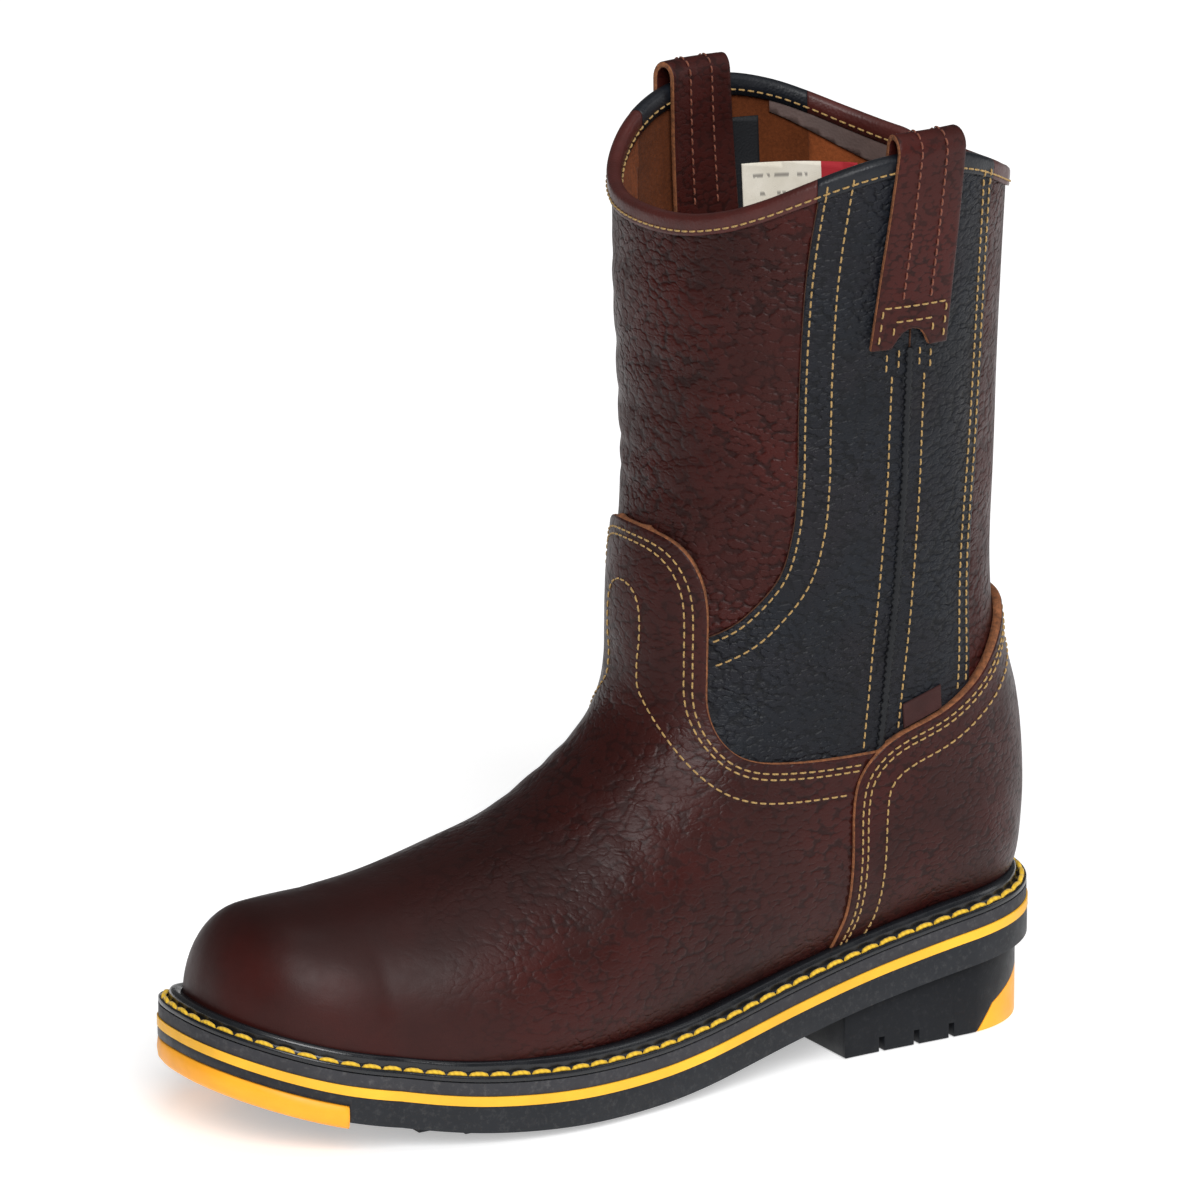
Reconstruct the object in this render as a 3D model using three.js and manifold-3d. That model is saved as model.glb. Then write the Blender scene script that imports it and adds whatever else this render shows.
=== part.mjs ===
// Pull-on steel toe work boot for the left foot, in millimetres.
// +Z is up, the toe points along -Y and the wearer's left (outer) side is +X.
// The tread and the heel stand on z = 0, and x = 0, y = 0 is the middle of the sole.
import * as THREE from "three";
import { mergeVertices } from "three/addons/utils/BufferGeometryUtils.js";
import Module from "manifold-3d";

const wasm = await Module();
wasm.setup();

// ---------------------------------------------------------------- driving dimensions
const SOLE_LENGTH = 318; // outsole, toe to heel
const SHAFT_HEIGHT = 316.5; // floor to the top of the collar over the side seam
const OUTER_BALL = 57; // centre line to the sole's edge at the ball, outer side
const INNER_BALL = 54.5; // the same on the inner side
const HEEL_HALF_WIDTH = 41.5; // centre line to the sole's edge at the heel

const SHAFT_LEATHER = 2.2; // shaft panels
const VAMP_LEATHER = 2.2; // vamp and counter
const LINING = 1.5;
const TOE_STEEL = 2.0; // wall of the toe cap and of the heel stiffener's board
const TOE_CAP_LENGTH = 48;
const BINDING = 0.9; // folded strip round the collar
const BINDING_DROP = 6.5;
const TRIM = 1.1; // piping, tags and seam tapes
const INSIDE_TRIM = 0.8; // seam tapes and collar facing
const LABEL = 0.6;
const STRAP = 2.4; // pull strap leather
const STRAP_WIDTH = 28; // at its stitched ends
const STRAP_TOP_WIDTH = 25.5; // where it folds over the rim
const STRAP_DROP = 64; // rim to the strap's lower end, outside and inside
const BACKSTAY_WIDTH = 17;
const STRAP_NOTCH = 6; // radius of the notch in the strap's lower end
const OUTER_STRAP = [76.5, 82]; // y of the strap's middle at its foot and at the fold
const INNER_STRAP = [73, 72];
const PIPING_WIDTH = 3;
const TAPE_FRONT = 64; // y of the seam tape's edges inside the shaft
const TAPE_BACK = 96;
const TAG_CORNERS = [[86.5, 116], [101, 121.1], [100, 129.5], [85.5, 124.5]]; // side view (y, z)
const LABEL_CORNERS = [[89, 238], [126, 286]]; // side view (y, z), inner side
const FACING_DEPTH = 20; // leather facing inside the back of the collar

const WELT_REACH = 6.5; // welt outside the upper, at the forefoot
const HEEL_WELT_REACH = 4.5; // welt outside the upper, round the heel
const WELT_FLANGE = 2.3;
const WELT_RIDGE = 4; // storm ridge above the flange
const WELT_RIDGE_WIDTH = 2.6;
const THREAD = 1.3; // lockstitch lying in the welt's groove
const MIDSOLE = 4.1;
const STRIPE = 3.3;
const OUTSOLE = 8.9;
const CORK = 2.3;
const INSOLE_BOARD = 2.5;
const FOOTBED = 4.5;
const FOOTBED_CLEARANCE = 1.8;
const FOOTBED_TOE_CLEARANCE = 6;
const SHANK_WIDTH = 14;
const SHANK_STEEL = 1.4;
const SHANK_RISE = 0.5; // cork under the shank
const SHANK_FRONT = -20; // y where the shank starts
const SHANK_BACK = 112;

const HEEL_BREAST = 70; // y of the heel block's front face
const HEEL_INSET = 2.5; // heel block inside the sole's edge at the sides
const HEEL_BACK_INSET = 4; // the same at the very back
const HEEL_GROOVES = 3;
const GROOVE_START = 15; // breast to the first groove
const GROOVE_PITCH = 14;
const GROOVE_WEB = 12; // the grooves stop this far from the centre line
const GROOVE_WIDTH = 2.2;
const GROOVE_DEPTH = 5;
const TREAD_BARS = 8;
const TREAD_BAR = 9;
const TREAD_GAP = 6;
const TREAD_INSET = 9;
const TREAD_START = -96; // y of the foremost bar
const TREAD_DEPTH = 2.2; // bars stand this far below the sole
const TOE_BUMPER = 8; // height of the bumper
const TOE_BUMPER_DEPTH = 14; // how far it reaches in under the toe
const TOE_BUMPER_END = -122; // y where the bumper stops
const BUMPER_DROP = 2.5; // the bumper hangs this far below the sole
const NAIL_RADIUS = 1.6;
const NAIL_LENGTH = 16;
const NAIL_SINK = 1.2; // heads lie this far up in the heel
const NAIL_PLACES = [[-18, 77.5], [18, 77.5], [-17, 106], [17, 106]];

const GAP = 0.3; // between pieces that touch

// ---------------------------------------------------------------- scaling of the design
// The curves below are drawn on a 318 mm sole with a 316.5 mm shaft and stretch with these two.
const DESIGN_SOLE = 318;
const DESIGN_SHAFT = 316.5;
const ANKLE = 160; // above this height the shaft stretches
const along = (y) => (y * SOLE_LENGTH) / DESIGN_SOLE;
const stretch = (SHAFT_HEIGHT - ANKLE) / (DESIGN_SHAFT - ANKLE);
const up = (z) => (z <= ANKLE ? z : ANKLE + (z - ANKLE) * stretch);
const at = ([y, z]) => [along(y), up(z)];

// ---------------------------------------------------------------- curves
// Smooth interpolation through rows of numbers; t counts rows.
function through(rows, t) {
  const last = rows.length - 1;
  const i = Math.max(0, Math.min(Math.floor(t), last - 1));
  const f = t - i;
  const beyond = (end, next) => end.map((value, c) => 2 * value - next[c]);
  const a = i > 0 ? rows[i - 1] : beyond(rows[0], rows[1]);
  const b = rows[i];
  const c = rows[i + 1];
  const d = i + 2 <= last ? rows[i + 2] : beyond(rows[last], rows[last - 1]);
  return b.map((value, k) => {
    const slope = c[k] - a[k];
    const bend = 2 * a[k] - 5 * value + 4 * c[k] - d[k];
    const twist = 3 * value - a[k] - 3 * c[k] + d[k];
    return value + 0.5 * f * (slope + f * (bend + f * twist));
  });
}

// Height of a curve given by (y, z) points in rising y, read at any y.
function heightAt(points, y) {
  const last = points.length - 1;
  if (y <= points[0][0]) return points[0][1];
  if (y >= points[last][0]) return points[last][1];
  let low = 0;
  while (y >= points[low + 1][0]) low++;
  let high = low + 1;
  for (let k = 0; k < 40; k++) {
    const mid = (low + high) / 2;
    if (through(points, mid)[0] < y) low = mid;
    else high = mid;
  }
  return through(points, low)[1];
}

// Points along a smooth line through the given ones.
function smooth(points, steps = 3) {
  const line = [];
  for (let i = 0; i < points.length - 1; i++)
    for (let k = 0; k < steps; k++) line.push(through(points, i + k / steps));
  line.push(points[points.length - 1]);
  return line;
}

// Middle height of the coloured midsole layer along the boot: toe spring, ball, arch and heel.
const SOLE_LINE = [[-175, 40], [-159, 34.3], [-121, 23], [-81, 15.7], [-30, 12.9], [7, 15], [48, 23],
  [88, 31], [126, 37], [159, 39.5], [175, 40]].map(at);
const soleHeight = (y) => heightAt(SOLE_LINE, y);

// Sole's edge in plan: half-widths along the boot, closed by round ends.
const SOLE_TOE = along(-105); // where the toe's rounding starts
const SOLE_HEEL = along(118); // where the heel's rounding starts
const TOE_SWING = 9; // the tip leans to the inner side
const SOLE_SIDES = [
  [-105, OUTER_BALL - 11, INNER_BALL - 5.5],
  [-75, OUTER_BALL - 3, INNER_BALL],
  [-45, OUTER_BALL, INNER_BALL - 1.5],
  [-10, OUTER_BALL - 4, INNER_BALL - 9.5],
  [30, HEEL_HALF_WIDTH + 5, HEEL_HALF_WIDTH - 4.5],
  [70, HEEL_HALF_WIDTH + 0.5, HEEL_HALF_WIDTH - 4],
  [118, HEEL_HALF_WIDTH, HEEL_HALF_WIDTH - 0.5],
].map(([y, outer, inner]) => [along(y), outer, inner]);

const swing = (y) => -TOE_SWING * Math.min(1, Math.max(0, (along(-60) - y) / along(99))) ** 2;
const rounding = (share, power) => Math.max(0, 1 - Math.min(1, share) ** power) ** (1 / power);

function sideAt(y, column) {
  const pairs = SOLE_SIDES.map((row) => [row[0], row[column]]);
  return heightAt(pairs, y);
}

// The sole's outline moved inwards by inset, as [x, y] points, outer side first.
function soleOutline(inset = 0, heelInset = inset, steps = 7) {
  const toe = -SOLE_LENGTH / 2 + inset;
  const heel = SOLE_LENGTH / 2 - heelInset;
  const stations = [];
  for (let i = 0; i < steps; i++) {
    const share = Math.cos(((i / steps) * Math.PI) / 2);
    stations.push([SOLE_TOE + (toe - SOLE_TOE) * share, rounding(share, 2.25)]);
  }
  for (let i = 0; i < steps; i++) stations.push([SOLE_TOE + ((SOLE_HEEL - SOLE_TOE) * i) / steps, 1]);
  for (let i = 0; i <= steps; i++) {
    const share = Math.sin(((i / steps) * Math.PI) / 2);
    stations.push([SOLE_HEEL + (heel - SOLE_HEEL) * share, rounding(share, 2.1)]);
  }
  const middle = (y) => (y - toe) / (heel - toe);
  const edge = (side) =>
    stations.map(([y, share]) => {
      const own = inset + (heelInset - inset) * middle(y);
      return [swing(y) + side * (sideAt(y, side > 0 ? 1 : 2) - own) * share, y];
    });
  return [...edge(1), ...edge(-1).reverse().slice(1, -1)];
}

// ---------------------------------------------------------------- the last: shape of the upper
// The outside of the shaft leather is swept by rings that fan from the toe round the ankle to the rim.
// Each row: front or top point (y, z), back or bottom point (y, z), outer and inner half-widths,
// where the ring is widest (0 front, 1 back), and how square its front and back halves are.
const UNDER = 1; // the swept surface closes this far above the sole line
const foot = (y) => [y, null];
const RINGS = [
  [[-105, 73.8], foot(-105), 39.5, 42.5, 0.7, 2.2, 2.8],
  [[-81, 77.2], foot(-82), 46, 47, 0.7, 2.15, 2.8],
  [[-56, 84], foot(-60), 49.5, 48, 0.7, 2.1, 2.8],
  [[-32, 92.8], foot(-36), 49.5, 45.5, 0.69, 2.05, 2.8],
  [[-9.5, 108], foot(-6), 46.5, 42, 0.66, 2.05, 2.7],
  [[2, 119.5], foot(30), 43.5, 40, 0.62, 2.1, 2.6],
  [[6.3, 130], foot(75), 42.5, 40, 0.57, 2.15, 2.5],
  [[7.2, 140], foot(115), 43, 41.5, 0.54, 2.15, 2.45],
  [[7, 150], foot(140), 44, 43, 0.52, 2.15, 2.4],
  [[7.2, 160], [150, 50], 45, 44.5, 0.51, 2.15, 2.4],
  [[8, 170], [153.2, 70], 46, 46, 0.5, 2.15, 2.35],
  [[9.8, 181], [152.6, 91], 47.5, 47.5, 0.5, 2.15, 2.3],
  [[12, 194], [149.2, 111], 50, 50, 0.5, 2.15, 2.25],
  [[13.2, 209], [143, 132], 52.5, 52.5, 0.5, 2.15, 2.2],
  [[13.4, 227], [140, 160], 55.5, 55.5, 0.5, 2.15, 2.15],
  [[13, 247], [139.8, 195], 58.5, 58.5, 0.5, 2.15, 2.15],
  [[12.6, 267], [139.6, 230], 61, 61, 0.5, 2.15, 2.15],
  [[13.6, 286], [140.2, 262], 63, 63, 0.5, 2.15, 2.15],
  [[13.2, 306], [141, 292], 65, 65, 0.5, 2.15, 2.15],
  [[12, 332], [142, 328], 66.5, 66.5, 0.5, 2.15, 2.15],
].map(([front, back, ...rest]) => {
  const low = back[1] === null ? soleHeight(along(back[0])) + UNDER : up(back[1]);
  return [...at(front), along(back[0]), low, ...rest];
});
const TOE_TIP = -SOLE_LENGTH / 2 + 10;
const TOE_START = RINGS[0][0];
const TOE_HEIGHT_ROUND = 22; // how far back the toe's front wall curves into its top
const TOE_SLOPE = 0.06; // fall of the toe's top towards the tip
const TOE_NARROWING = 0.3; // share of the forefoot's taper kept in the toe
const TOE_STEPS = [0, 0.15, 0.32, 0.5, 0.74, 1];
const AROUND = 20;

// Half-width of the toe at y; column 4 is the outer side and 5 the inner side.
const wide = (column, y) => {
  const growth = (RINGS[1][column] - RINGS[0][column]) / (RINGS[1][2] - RINGS[0][2]);
  return RINGS[0][column] + growth * TOE_NARROWING * (y - RINGS[0][2]);
};

// The ring at s: rows count from 1, and 0 to 1 is the rounding of the toe.
function ringAt(s) {
  if (s >= 1) return through(RINGS, s - 1);
  const y = TOE_TIP + (TOE_START - TOE_TIP) * (1 - Math.cos((s * Math.PI) / 2));
  const low = soleHeight(y) + UNDER;
  const top = RINGS[0][1] + TOE_SLOPE * (y - TOE_START);
  const plan = rounding((TOE_START - y) / (TOE_START - TOE_TIP), 2.25);
  const rise = rounding(Math.max(0, TOE_TIP + TOE_HEIGHT_ROUND - y) / TOE_HEIGHT_ROUND, 2.3);
  const [belly, frontPower, backPower] = RINGS[0].slice(6);
  const lateral = wide(4, y) * plan;
  const medial = wide(5, y) * plan;
  return [y, low + (top - low) * rise, y, low, lateral, medial, belly, frontPower, backPower];
}

function pointAt(s, turn) {
  const [frontY, frontZ, backY, backZ, outer, inner, belly, frontPower, backPower] = ringAt(s);
  const sine = Math.sin(turn);
  const cosine = Math.cos(turn);
  const power = cosine > 0 ? frontPower : backPower;
  const reach = (Math.abs(sine) ** power + Math.abs(cosine) ** power) ** (-1 / power);
  const depth = cosine > 0 ? belly * (1 - reach * cosine) : belly - (1 - belly) * reach * cosine;
  const across = reach * sine * (sine > 0 ? outer : inner);
  const y = frontY + (backY - frontY) * depth;
  const z = frontZ + (backZ - frontZ) * depth;
  return new THREE.Vector3(across + swing(y), y, z);
}

// A point of the swept surface moved outwards by distance.
function offsetPoint(s, turn, distance) {
  const step = 0.02;
  if (s < 0.02) return new THREE.Vector3(swing(TOE_TIP), TOE_TIP - distance, pointAt(0, 0).z + 6);
  const alongRing = pointAt(s, turn + step).sub(pointAt(s, turn - step));
  const alongBoot = pointAt(s + step, turn).sub(pointAt(s - step, turn));
  const outward = alongRing.cross(alongBoot).normalize();
  return pointAt(s, turn).addScaledVector(outward, distance);
}

const LAST_RING = RINGS.length;
const RING_STEPS = [...TOE_STEPS, 2, 3, 4, 5, 6, 7, 8, 9, 10, 11, 12, 13, 14, 15, 17, 19, LAST_RING];

// ---------------------------------------------------------------- solids
function solid(positions, triangles) {
  const geometry = new THREE.BufferGeometry();
  geometry.setAttribute("position", new THREE.Float32BufferAttribute(positions, 3));
  geometry.setIndex(triangles);
  return toSolid(geometry);
}

function toSolid(geometry) {
  geometry.deleteAttribute("normal");
  geometry.deleteAttribute("uv");
  const merged = mergeVertices(geometry, 1e-4);
  return new wasm.Manifold(new wasm.Mesh({
    numProp: 3,
    vertProperties: merged.getAttribute("position").array,
    triVerts: new Uint32Array(merged.index.array),
  }));
}

// Rings of points moved out by distance, from the toe's tip to the open top.
function skin(distance) {
  const rows = RING_STEPS.slice(1).map((s) => {
    const row = [];
    for (let k = 0; k < AROUND; k++) row.push(offsetPoint(s, (k / AROUND) * 2 * Math.PI, distance));
    return row;
  });
  return { tip: offsetPoint(0, 0, distance), rows };
}

// Triangles of one skin whose vertices start at base; flip turns its faces inwards.
function skinTriangles(rows, base, flip) {
  const triangles = [];
  const vertex = (i, k) => base + 1 + i * AROUND + (k % AROUND);
  const face = (a, b, c) => triangles.push(...(flip ? [a, c, b] : [a, b, c]));
  for (let k = 0; k < AROUND; k++) face(base, vertex(0, k + 1), vertex(0, k));
  for (let i = 0; i < rows.length - 1; i++)
    for (let k = 0; k < AROUND; k++) {
      face(vertex(i, k), vertex(i, k + 1), vertex(i + 1, k + 1));
      face(vertex(i, k), vertex(i + 1, k + 1), vertex(i + 1, k));
    }
  return triangles;
}

const listed = ({ tip, rows }) => [tip, ...rows.flat()].flatMap((p) => [p.x, p.y, p.z]);

// A leather layer between two distances from the swept surface, open at the top.
function layer(from, to) {
  const outside = skin(to);
  const inside = skin(from);
  const base = 1 + outside.rows.length * AROUND;
  const triangles = [...skinTriangles(outside.rows, 0, false), ...skinTriangles(inside.rows, base, true)];
  const top = 1 + (outside.rows.length - 1) * AROUND;
  for (let k = 0; k < AROUND; k++) {
    const next = (k + 1) % AROUND;
    triangles.push(top + k, top + next, base + top + next, top + k, base + top + next, base + top + k);
  }
  return solid([...listed(outside), ...listed(inside)], triangles);
}

// Everything inside the swept surface moved out by distance.
function body(distance) {
  const outside = skin(distance);
  const triangles = skinTriangles(outside.rows, 0, false);
  const top = 1 + (outside.rows.length - 1) * AROUND;
  for (let k = 1; k < AROUND - 1; k++) triangles.push(top, top + k, top + k + 1);
  return solid(listed(outside), triangles);
}

// A side-view outline in (y, z), pushed from x0 to x1.
function sidePrism(outline, x0 = -200, x1 = 200) {
  const shape = new THREE.Shape(outline.map(([y, z]) => new THREE.Vector2(y, z)));
  const geometry = new THREE.ExtrudeGeometry(shape, { depth: x1 - x0, bevelEnabled: false });
  geometry.applyMatrix4(new THREE.Matrix4().set(0, 0, 1, x0, 1, 0, 0, 0, 0, 1, 0, 0, 0, 0, 0, 1));
  return toSolid(geometry);
}

// A plan outline in (x, y), pushed from z0 to z1.
function planPrism(outline, z0 = -5, z1 = 80) {
  const shape = new THREE.Shape(outline.map(([x, y]) => new THREE.Vector2(x, y)));
  const geometry = new THREE.ExtrudeGeometry(shape, { depth: z1 - z0, bevelEnabled: false });
  geometry.translate(0, 0, z0);
  return toSolid(geometry);
}

const FAR = 400;
const SOLE_STEPS = 14;

// The sole line moved up by rise, from end to end, as (y, z) points.
function soleCurve(rise) {
  const line = [];
  for (let i = 0; i <= SOLE_STEPS; i++) {
    const y = (-0.55 + (1.1 * i) / SOLE_STEPS) * SOLE_LENGTH;
    line.push([y, soleHeight(y) + rise]);
  }
  return line;
}

const aboveSole = (rise) => sidePrism([...soleCurve(rise), [FAR, FAR], [-FAR, FAR]]);
const band = (low, high) => sidePrism([...soleCurve(low), ...soleCurve(high).reverse()]);
const plate = (outline, low, high) => planPrism(outline).intersect(band(low, high));

// ---------------------------------------------------------------- levels of the sole's layers
const STRIPE_TOP = STRIPE / 2;
const MIDSOLE_LOW = STRIPE_TOP + GAP;
const MIDSOLE_TOP = MIDSOLE_LOW + MIDSOLE;
const UPPER_LOW = MIDSOLE_TOP + GAP; // where the welt, the upper and the cork stand
const OUTSOLE_TOP = -STRIPE / 2 - GAP;
const OUTSOLE_LOW = OUTSOLE_TOP - OUTSOLE;
const CORK_TOP = UPPER_LOW + CORK;
const BOARD_TOP = CORK_TOP + GAP + INSOLE_BOARD;

// Distances of the leather layers from the swept surface.
const SHAFT_IN = -SHAFT_LEATHER;
const LINING_OUT = SHAFT_IN - GAP;
const LINING_IN = LINING_OUT - LINING;
const VAMP_IN = GAP;
const VAMP_OUT = VAMP_IN + VAMP_LEATHER;
const BINDING_OUT = GAP + BINDING;
const BINDING_IN = SHAFT_IN - GAP - BINDING;

// ---------------------------------------------------------------- seams in side view
const RIM = [[-60, 293], [13, 292.5], [28, 300.5], [48, 311.5], [76, 316.5], [102, 312.5], [124, 303],
  [141, 295.5], [200, 294]].map(at);
const PANEL_FRONT = [[47.5, 335], [45.5, 310], [43.3, 288], [42, 262], [42.3, 235], [43.6, 206],
  [43.4, 188], [40.5, 173], [32, 160.5], [22.7, 153.2], [8, 147], [-20, 138], [-300, 138]].map(at);
const PANEL_SEAM = [[77.5, 335], [78, 240], [79.3, 197], [79.5, 140], [77, 80], [77, -60]].map(at);
const PANEL_REAR = [[112.5, 335], [112.5, 230], [111.2, 170], [113, 128], [114, 80], [114, -60]].map(at);
const SHAFT_HEM = [[-80, 178], [3, 178], [10, 168], [10.5, 135], [13, 114], [24, 103], [50, 98.5],
  [80, 98.5], [104, 110], [128, 126], [142, 138], [200, 140]].map(at);
const VAMP_EDGE = [[-80, 187.5], [4, 187.5], [11, 186.8], [16.3, 182.5], [19.9, 174.5], [21.7, 163],
  [21.6, 142], [21.5, 126], [25, 116], [33, 110.5], [48, 108.8], [72, 109.3], [120, 112]].map(at);
const COUNTER_FRONT = [[62, 5], [65, 40], [67.6, 54], [68.2, 70], [68, 90], [70, 101], [76, 109.3],
  [85, 114.8], [101, 120.5], [112, 127.5], [122, 137], [131, 144.8], [140, 150], [200, 153]].map(at);

// Regions of the side view on each side of a seam line; FLOOR lies below the whole boot.
const FLOOR = -50;
const shifted = (line, dy, dz = 0) => smooth(line).map(([y, z]) => [y + dy, z + dz]);

function frontOf(line, shift = 0) {
  const edge = shifted(line, shift);
  return sidePrism([...edge, [-FAR - 1, edge.at(-1)[1]], [-FAR - 1, edge[0][1]]]);
}

function rearOf(line, shift = 0) {
  const edge = shifted(line, shift);
  const corner = edge.at(-1)[1] > FLOOR ? [[edge.at(-1)[0], FLOOR]] : [];
  return sidePrism([...edge, ...corner, [FAR, FLOOR], [FAR, edge[0][1]]]);
}

function below(line, drop = 0) {
  const edge = shifted(line, 0, -drop);
  return sidePrism([[-FAR, edge[0][1]], ...edge, [FAR, edge.at(-1)[1]], [FAR, FLOOR], [-FAR, FLOOR]]);
}

function above(line, rise = 0) {
  const edge = shifted(line, 0, rise);
  return sidePrism([[-FAR, edge[0][1]], ...edge, [FAR, edge.at(-1)[1]], [FAR, FAR], [-FAR, FAR]]);
}

const outerSide = sidePrism([[-FAR, -50], [FAR, -50], [FAR, FAR], [-FAR, FAR]], GAP / 2, 200);
const innerSide = sidePrism([[-FAR, -50], [FAR, -50], [FAR, FAR], [-FAR, FAR]], -200, -GAP / 2);
const box = (y0, y1, z0, z1) => sidePrism([[y0, z0], [y1, z0], [y1, z1], [y0, z1]]);

// ---------------------------------------------------------------- materials and nodes
const COLOURS = {
  brown_leather: ["#3a1a16", 0.42, 0],
  black_leather: ["#16181b", 0.5, 0],
  strap_leather: ["#45201a", 0.5, 0],
  suede_lining: ["#7a4426", 0.95, 0],
  facing_leather: ["#4d4442", 0.6, 0],
  label_cloth: ["#e6ded0", 0.85, 0],
  tag_cloth: ["#2c1613", 0.85, 0],
  black_rubber: ["#14161a", 0.35, 0],
  midsole_rubber: ["#2b2c2f", 0.7, 0],
  yellow_rubber: ["#e9b233", 0.6, 0],
  amber_rubber: ["#f2a02a", 0.5, 0],
  yellow_thread: ["#e0b030", 0.7, 0],
  steel: ["#9a9da1", 0.35, 1],
  fibreboard: ["#9b7c55", 0.9, 0],
  cork: ["#8a5f38", 0.95, 0],
  foam: ["#3b3d42", 0.95, 0],
};
const group = new THREE.Group();
const surfaces = {};

function surface(slot) {
  const [color, roughness, metalness] = COLOURS[slot];
  surfaces[slot] ??= new THREE.MeshStandardMaterial({ color, roughness, metalness });
  return surfaces[slot];
}

function add(name, slot, shape) {
  const { numProp, vertProperties, triVerts } = shape.getMesh();
  const positions = [];
  for (let i = 0; i < vertProperties.length; i += numProp)
    positions.push(vertProperties[i], vertProperties[i + 1], vertProperties[i + 2]);
  const geometry = new THREE.BufferGeometry();
  geometry.setAttribute("position", new THREE.Float32BufferAttribute(positions, 3));
  geometry.setIndex([...triVerts]);
  const mesh = new THREE.Mesh(geometry, surface(slot));
  mesh.name = name;
  group.add(mesh);
}

// ---------------------------------------------------------------- upper
const shaftLayer = layer(SHAFT_IN, 0);
const vampLayer = layer(VAMP_IN, VAMP_OUT).intersect(aboveSole(UPPER_LOW));
const liningLayer = layer(LINING_IN, LINING_OUT).intersect(aboveSole(UPPER_LOW));
const stiffLayer = layer(SHAFT_IN, SHAFT_IN + TOE_STEEL).intersect(aboveSole(UPPER_LOW));

function shaftPanels() {
  const wall = shaftLayer.intersect(below(RIM)).intersect(above(SHAFT_HEM));
  add("shaft_front", "brown_leather", wall.intersect(frontOf(PANEL_FRONT)));
  add("shaft_back", "brown_leather", wall.intersect(rearOf(PANEL_REAR, GAP)));
  const sides = wall.intersect(rearOf(PANEL_FRONT, GAP)).intersect(frontOf(PANEL_REAR));
  for (const [side, half] of [["outer", outerSide], ["inner", innerSide]]) {
    const panel = sides.intersect(half);
    add(`side_panel_${side}_front`, "black_leather", panel.intersect(frontOf(PANEL_SEAM)));
    add(`side_panel_${side}_rear`, "black_leather", panel.intersect(rearOf(PANEL_SEAM, GAP)));
  }
}

// Side-view region of the counter, grown by margin.
function counterRegion(margin) {
  const edge = smooth(COUNTER_FRONT).map(([y, z]) => [y - margin, z + margin]);
  return sidePrism([...edge, [FAR, edge.at(-1)[1]], [FAR, FLOOR], [edge[0][0], FLOOR]]);
}

function vampAndCounter() {
  add("vamp", "brown_leather", vampLayer.intersect(below(VAMP_EDGE)).subtract(counterRegion(GAP)));
  add("counter", "brown_leather", vampLayer.intersect(counterRegion(0)));
}

function linings() {
  const meet = along(64);
  const top = up(150);
  const low = box(-FAR, meet, -50, top);
  const thin = liningLayer.intersect(low);
  const capEnd = TOE_TIP + TOE_CAP_LENGTH + 8;
  const padding = layer(LINING_IN, SHAFT_IN + TOE_STEEL)
    .intersect(aboveSole(UPPER_LOW))
    .intersect(box(capEnd, meet, -50, top))
    .subtract(above(SHAFT_HEM.map(([y, z]) => [y - 2 * GAP, z - 2 * GAP])));
  add("vamp_lining", "suede_lining", thin.add(padding));
  add("heel_lining", "suede_lining", liningLayer.intersect(box(meet + GAP, FAR, -50, top)));
}

function stiffeners() {
  const capEnd = TOE_TIP + TOE_CAP_LENGTH;
  add("steel_toe_cap", "steel", stiffLayer.intersect(box(-FAR, capEnd, -50, FAR)));
  add("toe_cap_edge_strip", "foam", stiffLayer.intersect(box(capEnd + GAP, capEnd + 7, -50, FAR)));
  const cup = below([[40, 60], [85, 88], [130, 98], [200, 104]].map(at));
  add("heel_stiffener", "fibreboard", stiffLayer.intersect(box(along(72), FAR, -50, FAR)).intersect(cup));
}

// ---------------------------------------------------------------- collar and trim
function collarBindings() {
  const strip = layer(BINDING_IN, BINDING_OUT)
    .intersect(below(RIM, -GAP - BINDING))
    .intersect(above(RIM, -BINDING_DROP));
  const core = layer(SHAFT_IN - GAP, GAP).intersect(below(RIM, -GAP));
  const fold = strip.subtract(core);
  add("collar_binding_front", "brown_leather", fold.intersect(frontOf(PANEL_FRONT)));
  add("collar_binding_back", "brown_leather", fold.intersect(rearOf(PANEL_REAR, GAP)));
  const sides = fold.intersect(rearOf(PANEL_FRONT, GAP)).intersect(frontOf(PANEL_REAR));
  add("collar_binding_outer", "black_leather", sides.intersect(outerSide));
  add("collar_binding_inner", "black_leather", sides.intersect(innerSide));
}

// Where the swept surface, moved out by distance, meets a side-view point of the shaft.
function onShaft(y, z, sign, distance) {
  let low = 5;
  let high = LAST_RING;
  for (let k = 0; k < 40; k++) {
    const mid = (low + high) / 2;
    const [frontY, frontZ, backY, backZ] = ringAt(mid);
    const over = (backY - frontY) * (z - frontZ) - (backZ - frontZ) * (y - frontY);
    if (over > 0) low = mid;
    else high = mid;
  }
  const [frontY, frontZ, backY, backZ, , , belly, frontPower, backPower] = ringAt(low);
  const span = (backY - frontY) ** 2 + (backZ - frontZ) ** 2;
  const depth = ((backY - frontY) * (y - frontY) + (backZ - frontZ) * (z - frontZ)) / span;
  const ahead = depth < belly ? 1 - depth / belly : (belly - depth) / (1 - belly);
  const power = depth < belly ? frontPower : backPower;
  const across = Math.max(0, 1 - Math.abs(ahead) ** power) ** (1 / power);
  return offsetPoint(low, sign * Math.atan2(across, ahead), distance);
}

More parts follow.
